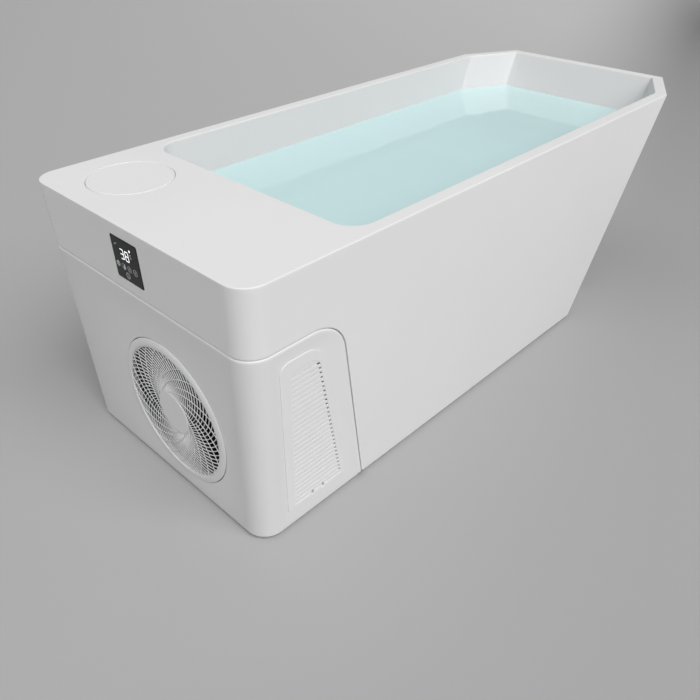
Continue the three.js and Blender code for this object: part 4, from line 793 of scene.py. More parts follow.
    def seam(self, drop: float = 0.0, back: float = 0.0) -> "SeamPath":
        """The seam round the machine bay, or a line beside it on the cover's side.

        In side view the seam is a level line and a leaning line joined by an arc. It starts at the
        far side's foot, climbs, rounds the machine end and comes down to the near side's foot.

        Args:
            drop: How far the level line is moved down.
            back: How far the leaning line is moved back towards the machine end.

        Returns:
            The path with its in-wall and outward directions.
        """
        painted_light_slope = self.seam_lean / self.height
        tilt = math.atan2(painted_light_slope, 1.0)
        level = self.height - self.seam_drop - drop
        lean = (self.start + self.seam_foot) * math.cos(tilt) - back
        radius = self.seam_round - (drop + back) / 2
        centre = line_corner(tilt, lean - radius, math.pi / 2, level - radius)
        phi = np.linspace(math.pi / 2, tilt, 17)
        arc = centre + radius * np.stack([np.cos(phi), np.sin(phi)], axis=-1)
        low = self.skirt + self.foot_edge
        foot = np.array([[lean / math.cos(tilt) - painted_light_slope * low, low]])
        near = np.concatenate([arc, foot])
        inward = np.concatenate([
            -np.stack([np.cos(phi), np.sin(phi)], axis=-1), [[-1 / math.cos(tilt), 0.0]]])
        k = self.side_lean / self.lean_height
        near_points = np.stack([near[:, 0], -self.side_y(near[:, 1]), near[:, 1]], axis=-1)
        near_in = np.stack([inward[:, 0], -k * inward[:, 1], inward[:, 1]], axis=-1)
        near_out = np.tile([0.0, -1.0, 0.0], (len(near), 1))
        mirror = np.array([1.0, -1.0, 1.0])
        rows, angles = self.body_loop(np.array([level, level - 0.001]), np.zeros(2))
        pick = slice(self.machine_start, None)
        top = rows[0, pick]
        down = unit(rows[1, pick] - rows[0, pick])
        out = np.stack([np.cos(angles[pick]), np.sin(angles[pick]), 0 * angles[pick]], axis=-1)
        return SeamPath(
            np.concatenate([near_points[::-1] * mirror, top, near_points]),
            np.concatenate([near_in[::-1] * mirror, down, near_in]),
            np.concatenate([near_out * mirror, out, near_out]), len(near))


@dataclass(frozen=True)
class SeamPath:
    """Points along the seam, with the in-wall direction to the cover and the outward direction."""

    points: Array
    inward: Array
    outward: Array
    side_count: int

    def rows(self, profile: Array, sign: float) -> Array:
        """Rows beside the seam: point + sign * distance * inward - depth * outward.

        Args:
            profile: Array of (distance, depth).
            sign: 1 towards the cover, -1 towards the tub.

        Returns:
            Points of shape (rows, stations, 3).
        """
        step = sign * profile[:, 0, None, None] * self.inward - profile[:, 1, None, None] * self.outward
        return self.points + step


def wall_edge(radius: float, turn_in: float, pad: float) -> Array:
    """Profile of (distance, depth) from a padding row on the wall round its edge and in behind it."""
    rounding = quarter_round(radius, 4)
    return np.concatenate([[[radius + pad, 0.0]], rounding, [[0.0, turn_in]]])


# Sub-assemblies
@dataclass
class TubMoulding:
    """Skirt, deck, rim and basin in one glossy moulding."""

    form: TubForm
    seam_edge: float = 0.0005
    lid_x: float = -0.707
    lid_y: float = 0.193
    lid_hole: float = 0.092
    lid_edge: float = 0.0012
    display_drop: float = 0.072
    display_size: float = 0.090
    drain_hole: float = 0.0223
    fillet_steps: int = 6

    def build(self, palette: Palette) -> bpy.types.Object:
        """Builds the moulding from its walls, rim, deck, lip and basin.

        Args:
            palette: Finishes.

        Returns:
            The finished piece.
        """
        surface = Surface("tub_moulding")
        rim = self._rim(surface)
        self._walls(surface, rim)
        self._deck_and_basin(surface, rim[-1])
        self._lip(surface)
        return surface.build([palette.shell], "tub", ("tub_shell", "basin"), "shell_white",
                             skin=self.form.skin, facing=(0.0, 0.0, 1.0))

    def _rim(self, surface: Surface) -> Array:
        """Adds the rounded rim edge and returns its rows, from the wall to the deck."""
        form = self.form
        rounding = quarter_round(form.edge, self.fillet_steps)[::-1]
        z = [form.lean_height - form.pad, form.lean_height, *(form.height - rounding[:, 1]), form.height]
        inset = [0.0, 0.0, *rounding[:, 0], form.edge + form.pad]
        rows = form.body_loop(z, inset)[0]
        surface.grid(rows, wrap=True)
        return rows

    def _walls(self, surface: Surface, rim: Array) -> None:
        """Adds the outer walls between the rim, the seam and the floor."""
        form = self.form
        seam = form.seam()
        rows = seam.rows(wall_edge(self.seam_edge, form.turn_in, form.pad), -1.0)
        surface.grid(rows)
        beside, top = rows[0], rim[0]
        low = form.body_loop(np.full(1, form.skirt + form.foot_edge), np.zeros(1))[0][0]
        side, first, corner = seam.side_count, form.machine_start, form.corner_count
        # Machine-end corners, and the end wall with the display's pocket
        for start in (first, first + corner):
            surface.grid(np.stack([beside[side + start - first:][:corner], top[start:start + corner]]))
        frame_ = form.end_frame(0.0, form.height - self.display_drop)
        half = self.display_size / 2 + 0.0003
        square = convex_loop([-math.pi / 2, 0.0, math.pi / 2, math.pi], np.full(4, half),
                             [0.0043] * 4, [5] * 4)[0]
        pocket = frame_.rows(square, np.array([[-0.0016, 0.0], [-0.0006, 0.0], [-0.0002, -0.0002], [0.0, -0.0006], [0.0, -0.005]]))
        surface.grid(pocket, wrap=True)
        left, right = first + corner - 1, first + corner
        wall = np.stack([top[left], top[right], beside[side + corner], beside[side + corner - 1]])
        surface.fill(wall, [pocket[0]])
        # Side walls: seam from the tangent down to the foot, then the floor edge and the rim
        near = np.concatenate([
            beside[side + 2 * corner - 1:], low[:1], top[:1], top[-1:]])
        far = np.concatenate([
            beside[:side + 1][::-1], low[first - 1:first], top[first - 1:first], top[first:first + 1]])
        surface.fill(near)
        surface.fill(far)
        surface.grid(np.stack([low[:first], top[:first]]))
        surface.grid(form.foot(slice(0, first), beside[-1], beside[0]))

    def _deck_and_basin(self, surface: Surface, deck_edge: Array) -> None:
        """Adds the deck with its lid hole, and the basin down to its drained floor."""
        form = self.form
        a = np.linspace(0.0, math.pi / 2, self.fillet_steps + 1)
        z = [form.height, *(form.height - form.edge * (1 - np.cos(a)))]
        inset = [-form.edge - form.pad, *(-form.edge * (1 - np.sin(a)))]
        low = form.basin_floor + form.floor_round
        b = np.linspace(0.0, math.pi / 2, 11)
        z += [form.height - form.edge - form.pad, low + form.pad,
              *(low - form.floor_round * np.sin(b)), form.basin_floor]
        inset += [0.0, 0.0, *(form.floor_round * (1 - np.cos(b))), form.floor_round + form.pad]
        rows = form.basin_loop(np.array(z), np.array(inset))
        surface.grid(rows, wrap=True)
        lid = WallFrame((self.lid_x, self.lid_y, form.height), (1.0, 0.0, 0.0), (0.0, 1.0, 0.0))
        r, e = self.lid_hole, self.lid_edge
        edge = quarter_round(e, 3)
        profile = np.concatenate([[[r + e + 0.003, 0.0]], np.stack([r + edge[:, 0], -edge[:, 1]], axis=-1), [[r, -0.010]]])
        hole = lid.turned(profile, 96)
        surface.grid(hole, wrap=True)
        surface.fill(deck_edge, [rows[0], hole[0]])
        floor = WallFrame((float(form.basin_x(form.basin_floor)) + form.floor_round + 0.105, 0.0, form.basin_floor),
                          (1.0, 0.0, 0.0), (0.0, 1.0, 0.0))
        drain = floor.turned(np.array([[self.drain_hole, 0.0], [self.drain_hole, -0.006]]), 48)
        surface.grid(drain, wrap=True)
        surface.fill(rows[-1], [drain[0]])

    def _lip(self, surface: Surface) -> None:
        """Adds the lip behind the seam that the cover seats on."""
        depth = self.form.turn_in + 0.0003
        rows = self.form.seam().rows(np.array([[-0.012, depth], [0.014, depth]]), 1.0)
        surface.grid(rows[:, 1:-1])


@dataclass
class MachineCover:
    """Removable satin cover round the machine bay, open for the grille and the vents."""

    form: TubForm
    edge: float = 0.0038
    bead: float = 0.0006
    bead_reach: float = 0.012
    fan_y: float = -0.066
    fan_z: float = 0.217
    grille_hole: float = 0.1727

    def build(self, palette: Palette, vent: "VentPanel") -> bpy.types.Object:
        """Builds the cover's walls, its rounded seam edge and its turned-in floor edge.

        Args:
            palette: Finishes.
            vent: Near vent panel, whose outline gives the side openings.

        Returns:
            The finished piece.
        """
        form = self.form
        surface = Surface("machine_cover_skin")
        seam = form.seam(form.seam_gap, form.seam_side_gap)
        raised = wall_edge(self.edge, form.turn_in, form.pad) - [0.0, self.bead]
        rows = seam.rows(np.concatenate([[[self.bead_reach, 0.0]], raised]), 1.0)
        surface.grid(rows)
        beside = rows[0]
        low = form.body_loop(np.full(1, form.skirt + form.foot_edge), np.zeros(1))[0][0]
        side, first, corner = seam.side_count, form.machine_start, form.corner_count
        for start in (first, first + corner):
            surface.grid(np.stack([low[start:start + corner], beside[side + start - first:][:corner]]))
        fan = form.end_frame(self.fan_y, self.fan_z)
        hole = fan.turned(np.array([
            [self.grille_hole + 0.003, 0.0], [self.grille_hole, 0.0], [self.grille_hole, -0.006]]), 128)
        surface.grid(hole, wrap=True)
        left, right = first + corner - 1, first + corner
        surface.fill(np.stack([
            beside[side + corner - 1], beside[side + corner], low[right], low[left]]), [hole[0]])
        for near in (True, False):
            wall = form.side_frame(vent.foot, near)
            depth = form.turn_in if near else -form.turn_in
            opening = wall.rows(vent.outline(vent.lap), np.array([[0.0, 0.0], [0.0, -depth]]))
            surface.grid(opening, wrap=True)
            if near:
                outer = np.concatenate([beside[side + 2 * corner - 1:], low[-1:]])
            else:
                outer = np.concatenate([beside[:side + 1], low[first:first + 1]])
            surface.fill(outer, [opening[0]])
        surface.grid(form.foot(slice(first, None), beside[0], beside[-1]))
        return surface.build([palette.cover], "cover", ("machine_cover",), "cover_white",
                             skin=form.skin, facing=(-1.0, 0.0, 0.0))


@dataclass(frozen=True)
class Sweep:
    """A ring of equal bars that curve outwards along circular arcs."""

    count: int
    arc: float
    offset: float
    turn: float
    start: float
    skin: float
    depth: float

    def middle(self, first: float, last: float, steps: int, lag: float = 0.0) -> Array:
        """Middle lines of the bars between two radii.

        Each line lies on a circle whose centre is an offset away from the axis. By the cosine rule
        its angle at radius r is start - turn * acos((r^2 + offset^2 - arc^2) / (2 r offset)).

        Args:
            first: Radius where the bars begin.
            last: Radius where they end.
            steps: Steps along each bar.
            lag: Share of the pitch by which the ring is turned on.

        Returns:
            Points of shape (bars, steps + 1, 2).
        """
        r = np.linspace(first, last, steps + 1)
        swing = np.arccos((r ** 2 + self.offset ** 2 - self.arc ** 2) / (2 * r * self.offset))
        around = (np.arange(self.count)[:, None] + lag) * 2 * math.pi / self.count
        theta = math.radians(self.start) - self.turn * swing + around
        return np.stack([r * np.cos(theta), r * np.sin(theta)], axis=-1)

    def bars(self, place: WallFrame, middle: Array, front: float) -> Array:
        """Carries a strip with rounded front edges along the middle lines, square to them.

        Args:
            place: Frame that the lines are drawn in.
            middle: Middle lines, shape (bars, stations, 2).
            front: Height of the front edge out of the wall.

        Returns:
            Sections of shape (bars, stations, corners, 3).
        """
        half, back = self.skin / 2, front - self.depth
        section = np.array([
            [-half, back], [half, back], [half, front - half], [0.72 * half, front - 0.3 * half],
            [0.0, front], [-0.72 * half, front - 0.3 * half], [-half, front - half]])
        along = unit(np.gradient(middle, axis=1))
        across = np.stack([-along[..., 1], along[..., 0]], axis=-1)
        points = middle[:, :, None, :] + section[:, :1] * across[:, :, None, :]
        height = np.broadcast_to(section[:, 1], points.shape[:3])
        return place.place(points[..., 0], points[..., 1], height)


@dataclass
class FanGrille:
    """Round grille: a crowned bezel, a hub, and long and short swirl vanes over finer ribs swept back."""

    form: TubForm
    fan_y: float = -0.066
    fan_z: float = 0.217
    radius: float = 0.1709
    bezel: float = 0.0169
    crown: float = 0.0125
    outer_edge: float = 0.0014
    proud: float = 0.004
    depth: float = 0.012
    hub: float = 0.050
    hub_edge: float = 0.0014
    bore_edge: float = 0.0009
    short_start: float = 0.085
    hoop: float = 0.002
    gap: float = 0.0003
    vanes: Sweep = Sweep(12, 0.162, 0.116, -1.0, 11.0, 0.0021, 0.0009)
    ribs: Sweep = Sweep(60, 0.112, 0.092, 1.0, 2.0, 0.0020, 0.0018)

    @property
    def place(self) -> WallFrame:
        """Frame on the machine end with the fan's axis at its origin."""
        return self.form.end_frame(self.fan_y, self.fan_z)

    @property
    def opening(self) -> float:
        """Radius of the opening inside the bezel."""
        return self.radius - self.bezel

    def build(self, palette: Palette) -> None:
        """Builds the grille and the finger guard that nests in its bore.

        Args:
            palette: Finishes.
        """
        self._grille(palette)
        self._guard(palette)

    def _grille(self, palette: Palette) -> None:
        """Builds bezel, hub and vanes; the bezel rises from its outer edge as a parabola, 1 - (1 - t)^2."""
        back = self.proud - self.depth
        t = np.linspace(0.0, 1.0, 13)
        rise = self.outer_edge + (self.proud - self.outer_edge) * (1 - (1 - t) ** 2)
        crown = np.stack([self.radius - self.crown * t, rise], axis=-1)
        bore = quarter_round(self.bore_edge, 5) * [1, -1] + [self.opening, self.proud]
        grille = Surface("swirl_grille")
        grille.grid(self.place.turned(np.concatenate([
            [[self.radius, back]], crown, bore, [[self.opening, back], [self.radius, back]]]), 144), wrap=True)
        under = self.proud - self.vanes.depth
        edge = quarter_round(self.hub_edge, 5)[::-1] * [-1, -1] + [self.hub, self.proud]
        grille.grid(self.place.turned(np.concatenate([
            [[0.0, under], [self.hub, under]], edge,
            [[self.hub - 0.006, self.proud], [0.0, self.proud]]]), 72), wrap=True)
        reach = self.opening + self.vanes.skin
        front = self.proud - self.gap
        for first, lag, steps in ((self.hub - self.vanes.skin, 0.0, 20), (self.short_start, 0.5, 14)):
            middle = self.vanes.middle(first, reach, steps, lag)
            grille.solids(self.vanes.bars(self.place, middle, front))
        grille.build([palette.cover], "cover", ("fan_grille",), "cover_white")

    def _guard(self, palette: Palette) -> None:
        """Builds the hoop in the bezel's bore, the disc behind the hub and the fine ribs between them."""
        front = self.proud - self.vanes.depth - self.gap
        back = front - self.ribs.depth
        outside = self.opening - self.gap
        inside = outside - self.hoop
        guard = Surface("finger_guard")
        guard.grid(self.place.turned(np.array([
            [inside, back], [outside, back], [outside, front], [inside, front], [inside, back]]), 144), wrap=True)
        guard.grid(self.place.turned(np.array([
            [0.0, back], [self.hub, back], [self.hub, front], [0.0, front]]), 72), wrap=True)
        middle = self.ribs.middle(self.hub - self.ribs.skin, inside + self.hoop / 2, 14)
        guard.solids(self.ribs.bars(self.place, middle, front - self.gap))
        guard.build([palette.cover], "cover", ("fan_guard",), "cover_white")


@dataclass(frozen=True)
class Station:
    """A section of a louvre strip: its distance from an end wall and the heights it is solid between."""

    from_right: bool
    shift: float
    low: float
    high: float


@dataclass
class VentPanel:
    """Louvred side panel: a raised plate with rounded edges, level strips and a snap tab."""

    form: TubForm
    foot: float = 0.048
    drop: float = 0.177
    left_foot: float = 0.078
    left_top: float = 0.068
    right_foot: float = 0.246
    right_top: float = 0.171
    heel: float = 0.012
    shoulder: float = 0.045
    corner: float = 0.024
    proud: float = 0.0015
    lift: float = 0.0003
    edge: float = 0.0009
    lap: float = 0.006
    depth: float = 0.009
    slats: int = 28
    slat_skin: float = 0.0025
    slat_edge: float = 0.0005
    slat_crown: float = 0.00025
    slat_sunk: float = 0.0007
    slot: float = 0.0007
    cut: float = 0.0050
    field_left_foot: float = 0.098
    field_left_top: float = 0.093
    field_right_margin: float = 0.011
    field_top_margin: float = 0.028
    field_foot_margin: float = 0.015
    field_heel: float = 0.004
    field_shoulder: float = 0.026
    field_corner: float = 0.010
    slits: tuple[float, ...] = (0.147, 0.177)
    slit: float = 0.0060
    slit_drop: float = 0.0062

    @property
    def tall(self) -> float:
        """Height of the plate along the wall."""
        return self.form.height - self.drop - self.foot

    def quad(self, corners: Array, radii: Sequence[float], inset: float) -> Array:
        """Outline of a rounded quadrilateral, moved in by an inset.

        Args:
            corners: Foot left, foot right, top right and top left, shape (4, 2).
            radii: Radius at the same corners.
            inset: Distance moved in.

        Returns:
            Closed 2-D loop, anticlockwise.
        """
        edge = unit(np.roll(corners, -1, axis=0) - corners)
        normal = np.stack([edge[:, 1], -edge[:, 0]], axis=-1)
        angles = np.unwrap(np.arctan2(normal[:, 1], normal[:, 0]))
        distance = np.sum(normal * corners, axis=-1) - inset
        after = [max(r - inset, 0.0008) for r in (*radii[1:], radii[0])]
        return convex_loop(list(angles), distance, after, [8] * 4)[0]

    def outline(self, inset: float) -> Array:
        """Outline of the plate, moved in by an inset."""
        corners = np.array([[self.left_foot, 0.0], [self.right_foot, 0.0],
                            [self.right_top, self.tall], [self.left_top, self.tall]])
        return self.quad(corners, (self.heel, self.heel, self.shoulder, self.corner), inset)

    def right_at(self, v: Array | float) -> Array:
        """Right edge of the louvred field at height v up the plate."""
        return self.right_foot + (self.right_top - self.right_foot) * np.asarray(v) / self.tall - self.field_right_margin

    def left_at(self, v: Array | float) -> Array:
        """Left edge of the louvred field at height v up the plate."""
        return self.field_left_foot + (self.field_left_top - self.field_left_foot) * np.asarray(v) / self.tall

    def field(self) -> Array:
        """Outline of the louvred field, with a notch in its foot for each slit beside the snap tab."""
        low, high = self.field_foot_margin, self.tall - self.field_top_margin
        corners = np.array([[self.left_at(low), low], [self.right_at(low), low],
                            [self.right_at(high), high], [self.left_at(high), high]])
        radii = (self.field_heel, self.field_heel, self.field_shoulder, self.field_corner)
        half, drop = self.slit / 2, self.slit_drop
        notch = np.array([[-half, 0.0], [-half, -drop], [half, -drop], [half, 0.0]])
        return np.concatenate([self.quad(corners, radii, 0.0), *([u, low] + notch for u in self.slits)])

    def build(self, palette: Palette, near: bool) -> bpy.types.Object:
        """Builds one panel.

        Args:
            palette: Finishes.
            near: Whether it is the near side's panel.

        Returns:
            The finished piece.
        """
        side = "near" if near else "far"
        wall = self.form.side_frame(self.foot, near)
        out = np.array([1.0, 1.0 if near else -1.0])
        surface = Surface(f"louvre_panel_{side}")
        spigot = self.lap + self.lift
        rise = quarter_round(self.edge, 4)[::-1] * [1, -1] + [0.0, self.proud]
        plate = wall.rows(self.outline(0.0), np.concatenate([
            [[spigot, -self.depth], [spigot, self.lift], [0.0, self.lift]], rise,
            [[self.edge + 0.003, self.proud]]]) * out)
        sink = quarter_round(self.edge, 4) * [-1, -1] + [0.0, self.proud]
        hole = wall.rows(self.field(), np.concatenate([
            [[-self.edge - 0.001, self.proud]], sink, [[0.0, -self.depth]]]) * out)
        for rows in (plate, hole):
            surface.grid(rows, wrap=True)
        surface.fill(plate[-1], [hole[0]])
        surface.fill(plate[0], [hole[-1]])
        top = self.slats - 1
        surface.solids(self._strips(wall, out[1], np.arange(1), self._parted()))
        surface.solids(self._strips(wall, out[1], np.arange(1, top), self._plain()))
        surface.solids(self._strips(wall, out[1], np.array([top]), self._whole()))
        return surface.build([palette.cover], f"vent_{side}", (f"vent_panel_{side}",), "cover_white")

    @property
    def pitch(self) -> float:
        """Height from one strip to the next."""
        return (self.tall - self.field_top_margin - self.field_foot_margin) / self.slats

    def _plain(self) -> list[Station]:
        """Stations of a strip that is cut short from above at the field's right wall."""
        high, step, into = self.pitch - self.slot, 0.0002, self.slat_skin / 4
        return [Station(False, -into, 0.0, high), Station(True, -self.cut - step, 0.0, high),
                Station(True, -self.cut, 0.0, high - self.cut), Station(True, into, 0.0, high - self.cut)]

    def _whole(self) -> list[Station]:
        """Stations of the topmost strip, which closes against the field's top."""
        into, high = self.slat_skin / 4, self.pitch + self.slat_skin / 4
        return [Station(False, -into, 0.0, high), Station(True, self.field_right_margin, 0.0, high)]

    def _parted(self) -> list[Station]:
        """Stations of the lowest strip, which the two slits also cut from below."""
        first, *rest = self._plain()
        stations, half, step = [first], self.slit / 2, 0.0002
        for u in self.slits:
            middle = u - self.field_left_foot
            for shift, low in ((-half - step, 0.0), (-half, self.slit_drop), (half, self.slit_drop), (half + step, 0.0)):
                stations.append(Station(False, middle + shift, low, first.high))
        return stations + rest

    def _strips(self, wall: WallFrame, sign: float, rows: Array, stations: Sequence[Station]) -> Array:
        """Level strips with a flat back, rounded edges and a slight crown.

        Each station's corners are measured up from the strip's foot. Its place along the strip
        follows the field's left wall, or its right wall and the round shoulder above it.

        Args:
            wall: Frame of the side wall.
            sign: 1 where the frame's out points outwards, -1 where it points inwards.
            rows: Numbers of the strips, counted up from the field's foot.
            stations: Sections along each strip.

        Returns:
            Sections of shape (strips, stations, corners, 3).
        """
        r, front = self.slat_edge, self.proud - self.slat_sunk
        low, high = (np.array([getattr(s, key) for s in stations])[:, None] for key in ("low", "high"))
        up = np.concatenate([low, high, high, high - r, (low + high) / 2, low + r, low], axis=1)
        out = front + np.array([-self.slat_skin, -self.slat_skin, -r, 0.0, self.slat_crown, 0.0, -r])
        v = self.field_foot_margin + rows[:, None, None] * self.pitch + up
        shoulder = self.tall - self.field_top_margin - self.field_shoulder
        turn = np.clip((v - shoulder) / self.field_shoulder, 0.0, 1.0)
        right = self.right_at(v) - self.field_shoulder * (1 - np.sqrt(1 - turn ** 2))
        at_right = np.array([s.from_right for s in stations])[:, None]
        u = np.where(at_right, right, self.left_at(v)) + np.array([s.shift for s in stations])[:, None]
        return wall.place(u, v, np.broadcast_to(out * sign, u.shape))


@dataclass
class FilterLid:
    """Round lid flush in the deck, over the filter."""

    form: TubForm
    x: float = -0.707
    y: float = 0.193
    radius: float = 0.091

    def build(self, palette: Palette) -> bpy.types.Object:
        """Builds the lid as a turned profile with a rounded edge and a spigot under it.

        Args:
            palette: Finishes.

        Returns:
            The finished piece.
        """
        top = WallFrame((self.x, self.y, self.form.height), (1.0, 0.0, 0.0), (0.0, 1.0, 0.0))
        a = np.linspace(0.0, math.pi / 2, 5)
        e = 0.0015
        edge = np.stack([self.radius - e * (1 - np.cos(a)), -e * (1 - np.sin(a))], axis=-1)
        profile = np.concatenate([
            [[0.0, -0.008], [self.radius, -0.008]], edge,
            [[self.radius - e - 0.003, 0.0], [0.0, 0.0]]])
        surface = Surface("filter_lid_cap")
        surface.grid(top.turned(profile, 96), wrap=True)
        return surface.build([palette.shell], "lid", ("filter_lid",), "shell_white")


class Bar(Enum):
    """Bars of a seven-bar digit, from one end to the other in shares of its width and height."""

    TOP = ((0.0, 1.0), (1.0, 1.0))
    UPPER_RIGHT = ((1.0, 1.0), (1.0, 0.5))
    LOWER_RIGHT = ((1.0, 0.5), (1.0, 0.0))
    FOOT = ((0.0, 0.0), (1.0, 0.0))
    LOWER_LEFT = ((0.0, 0.0), (0.0, 0.5))
    UPPER_LEFT = ((0.0, 0.5), (0.0, 1.0))
    MIDDLE = ((0.0, 0.5), (1.0, 0.5))


@dataclass
class Sign:
    """Flat lit marks of one brightness, just proud of the glass."""

    place: WallFrame
    surface: Surface
    low: float
    high: float

    def bar(self, start: Sequence[float], end: Sequence[float], width: float) -> None:
        """Adds a bar with pointed ends: a long hexagon about the line between two points.

        Args:
            start: First end.
            end: Other end.
            width: Width of the bar.
        """
        p, q = np.array(start, float), np.array(end, float)
        along = unit(q - p) * width / 2
        across = np.array([-along[1], along[0]])
        loop = np.array([p, p + along - across, q - along - across, q, q - along + across, p + along + across])
        self.surface.plate(self.place, loop, self.low, self.high)

    def ring(self, centre: Sequence[float], outer: float, inner: float = 0.0) -> None:
        """Adds a flat ring, or a disc where the inner radius is 0.

        Args:
            centre: Middle of the ring.
            outer: Outer radius.
            inner: Inner radius.
        """
        phi = np.arange(28) * 2 * math.pi / 28
        circle = np.stack([np.cos(phi), np.sin(phi)], axis=-1)
        holes = [np.array(centre) + inner * circle] if inner else []
        self.surface.plate(self.place, np.array(centre) + outer * circle, self.low, self.high, holes)

    def digit(self, corner: Sequence[float], size: Sequence[float], width: float, bars: Sequence[Bar]) -> None:
        """Adds a seven-bar digit with a hair of glass between its bars.

        Args:
            corner: Lower left corner of the bars' middle lines.
            size: Width and height of the middle lines.
            width: Width of a bar.
            bars: Bars that are lit.
        """
        gap = 0.06 * width
        for bar in bars:
            start, end = (np.array(corner) + np.array(share) * np.array(size) for share in bar.value)
            step = unit(end - start) * gap
            self.bar(start + step, end - step, width)


@dataclass
class ControlDisplay:
    """Dark glass square with a lit temperature and round touch icons."""

    form: TubForm
    drop: float = 0.072
    size: float = 0.090
    corner: float = 0.004
    edge: float = 0.0008
    proud: float = 0.0007
    glass: float = 0.003
    sign_skin: float = 0.0002
    digit_size: tuple[float, float] = (0.0104, 0.0200)
    digit_bar: float = 0.0019
    icon: float = 0.0072
    icon_line: float = 0.0017

    def build(self, palette: Palette) -> None:
        """Builds the glass and its signs.

        Args:
            palette: Finishes.
        """
        place = self.form.end_frame(0.0, self.form.height - self.drop)
        square = convex_loop([-math.pi / 2, 0.0, math.pi / 2, math.pi], np.full(4, self.size / 2),
                             [self.corner] * 4, [6] * 4)[0]
        pane = Surface("display_pane")
        edge = quarter_round(self.edge, 4)[::-1] * [1, -1] + [0.0, self.proud]
        rows = place.rows(square, np.concatenate([
            [[0.0, self.proud - self.glass]], edge, [[self.edge + 0.002, self.proud]]]))
        pane.grid(rows, wrap=True)
        pane.fill(rows[-1])
        pane.fill(rows[0])
        pane.build([palette.glass], "tub", ("display_glass",), "display_glass")
        for name, draw, material in (
                ("display_digits", self._digits, palette.digit),
                ("display_bright_icons", self._bright_icons, palette.bright_icon),
                ("display_dim_icons", self._dim_icons, palette.icon)):
            surface = Surface(name)
            draw(Sign(place, surface, self.proud, self.proud + self.sign_skin))
            surface.build([material], "tub", slot="display_glass")

    def _digits(self, sign: Sign) -> None:
        """Draws the temperature with its degree ring."""
        three = [bar for bar in Bar if bar not in (Bar.LOWER_LEFT, Bar.UPPER_LEFT)]
        sign.digit((-0.0166, 0.0024), self.digit_size, self.digit_bar, three)
        sign.digit((0.0004, 0.0024), self.digit_size, self.digit_bar, list(Bar))
        sign.ring((0.0186, 0.0280), 0.0026, 0.0008)

    def _bright_icons(self, sign: Sign) -> None:
        """Draws the unit, the power icon and the lit drop."""
        unit_bars = [Bar.TOP, Bar.UPPER_LEFT, Bar.LOWER_LEFT, Bar.FOOT]
        sign.digit((0.0178, 0.0138), (0.0042, 0.0068), 0.0016, unit_bars)
        sign.ring((-0.0335, -0.0142), 0.0060, 0.0038)
        sign.bar((-0.0335, -0.0165), (-0.0335, -0.0095), 1.6 * self.icon_line)
        sign.ring((-0.0122, -0.0170), 0.0036)
        sign.bar((-0.0122, -0.0180), (-0.0122, -0.0095), 0.0036)

    def _dim_icons(self, sign: Sign) -> None:
        """Draws the link mark and the icons that are not lit, which still glow faintly in a painted grey."""
        line = self.icon_line
        sign.bar((-0.0345, 0.0262), (-0.0245, 0.0318), 0.0026)
        sign.ring((-0.0142, -0.0148), self.icon, self.icon - 0.6 * line)
        sign.ring((0.0055, -0.0148), self.icon, self.icon - 0.8 * line)
        sign.ring((0.0055, -0.0148), 0.0036, 0.0018)
        sign.ring((0.0252, -0.0148), self.icon, self.icon - line)
        for turn in (math.pi / 6, math.pi / 2, 5 * math.pi / 6):
            arm = 0.0042 * np.array([math.cos(turn), math.sin(turn)])
            sign.bar((0.0252, -0.0148) - arm, (0.0252, -0.0148) + arm, 0.6 * line)
        sign.ring((-0.0048, -0.0318), self.icon, self.icon - 1.8 * line)
        sign.bar((-0.0072, -0.0318), (-0.0024, -0.0318), 1.2 * line)


@dataclass
class WaterFill:
    """The water in the basin."""

    form: TubForm
    level: float = 0.522
    clear: float = 0.0003

    def build(self, palette: Palette) -> bpy.types.Object:
        """Builds the water as the basin's own form, a hair smaller, closed at the water line.

        Args:
            palette: Finishes.

        Returns:
            The finished piece.
        """
        form = self.form
        low = form.basin_floor + form.floor_round
        b = np.linspace(0.0, math.pi / 2, 9)
        r = form.floor_round - self.clear
        z = np.array([self.level, low, *(low - r * np.sin(b[1:]))])
        inset = self.clear + np.array([0.0, 0.0, *(r * (1 - np.cos(b[1:])))])
        rows = form.basin_loop(z, inset)
        surface = Surface("water_fill")
        surface.grid(rows, wrap=True, slot=1)
        surface.fill(rows[-1], slot=1)
        surface.fill(rows[0], slot=0)
        return surface.build([palette.water, palette.water_sides], "tub")


class Hardware:
    """CAD nodes that keep their own shape and get a procedural finish of their record slot."""

    def dress(self, palette: Palette) -> None:
        """Gives every shown CAD node the finish of its slot.

        Args:
            palette: Finishes.
        """
        for name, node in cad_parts.items():
            slots = node.material_slots
            for slot in slots:
                base = slot.material.name.split(".")[0] if slot.material else ""
                LOG.debug("%s %s", name, base)
                slot.material = palette.made.get(base, palette.cover)


@dataclass(frozen=True)
class SoftSun:
    """Wide, even light from one side, as from a large soft box far away."""

    name: str
    azimuth: float
    elevation: float
    spread: float
    strength: float

    def make(self) -> None:
        """Makes the light; its azimuth runs from the near side, -Y, towards the far end, +X."""
        data = bpy.data.lights.new(self.name, "SUN")
        data.energy, data.angle = self.strength, math.radians(self.spread)
        a, e = math.radians(self.azimuth), math.radians(self.elevation)
        way = Vector((math.sin(a) * math.cos(e), -math.cos(a) * math.cos(e), math.sin(e)))
        light = bpy.data.objects.new(self.name, data)
        light.matrix_world = way.to_track_quat("Z", "Y").to_matrix().to_4x4()
        bpy.context.scene.collection.objects.link(light)


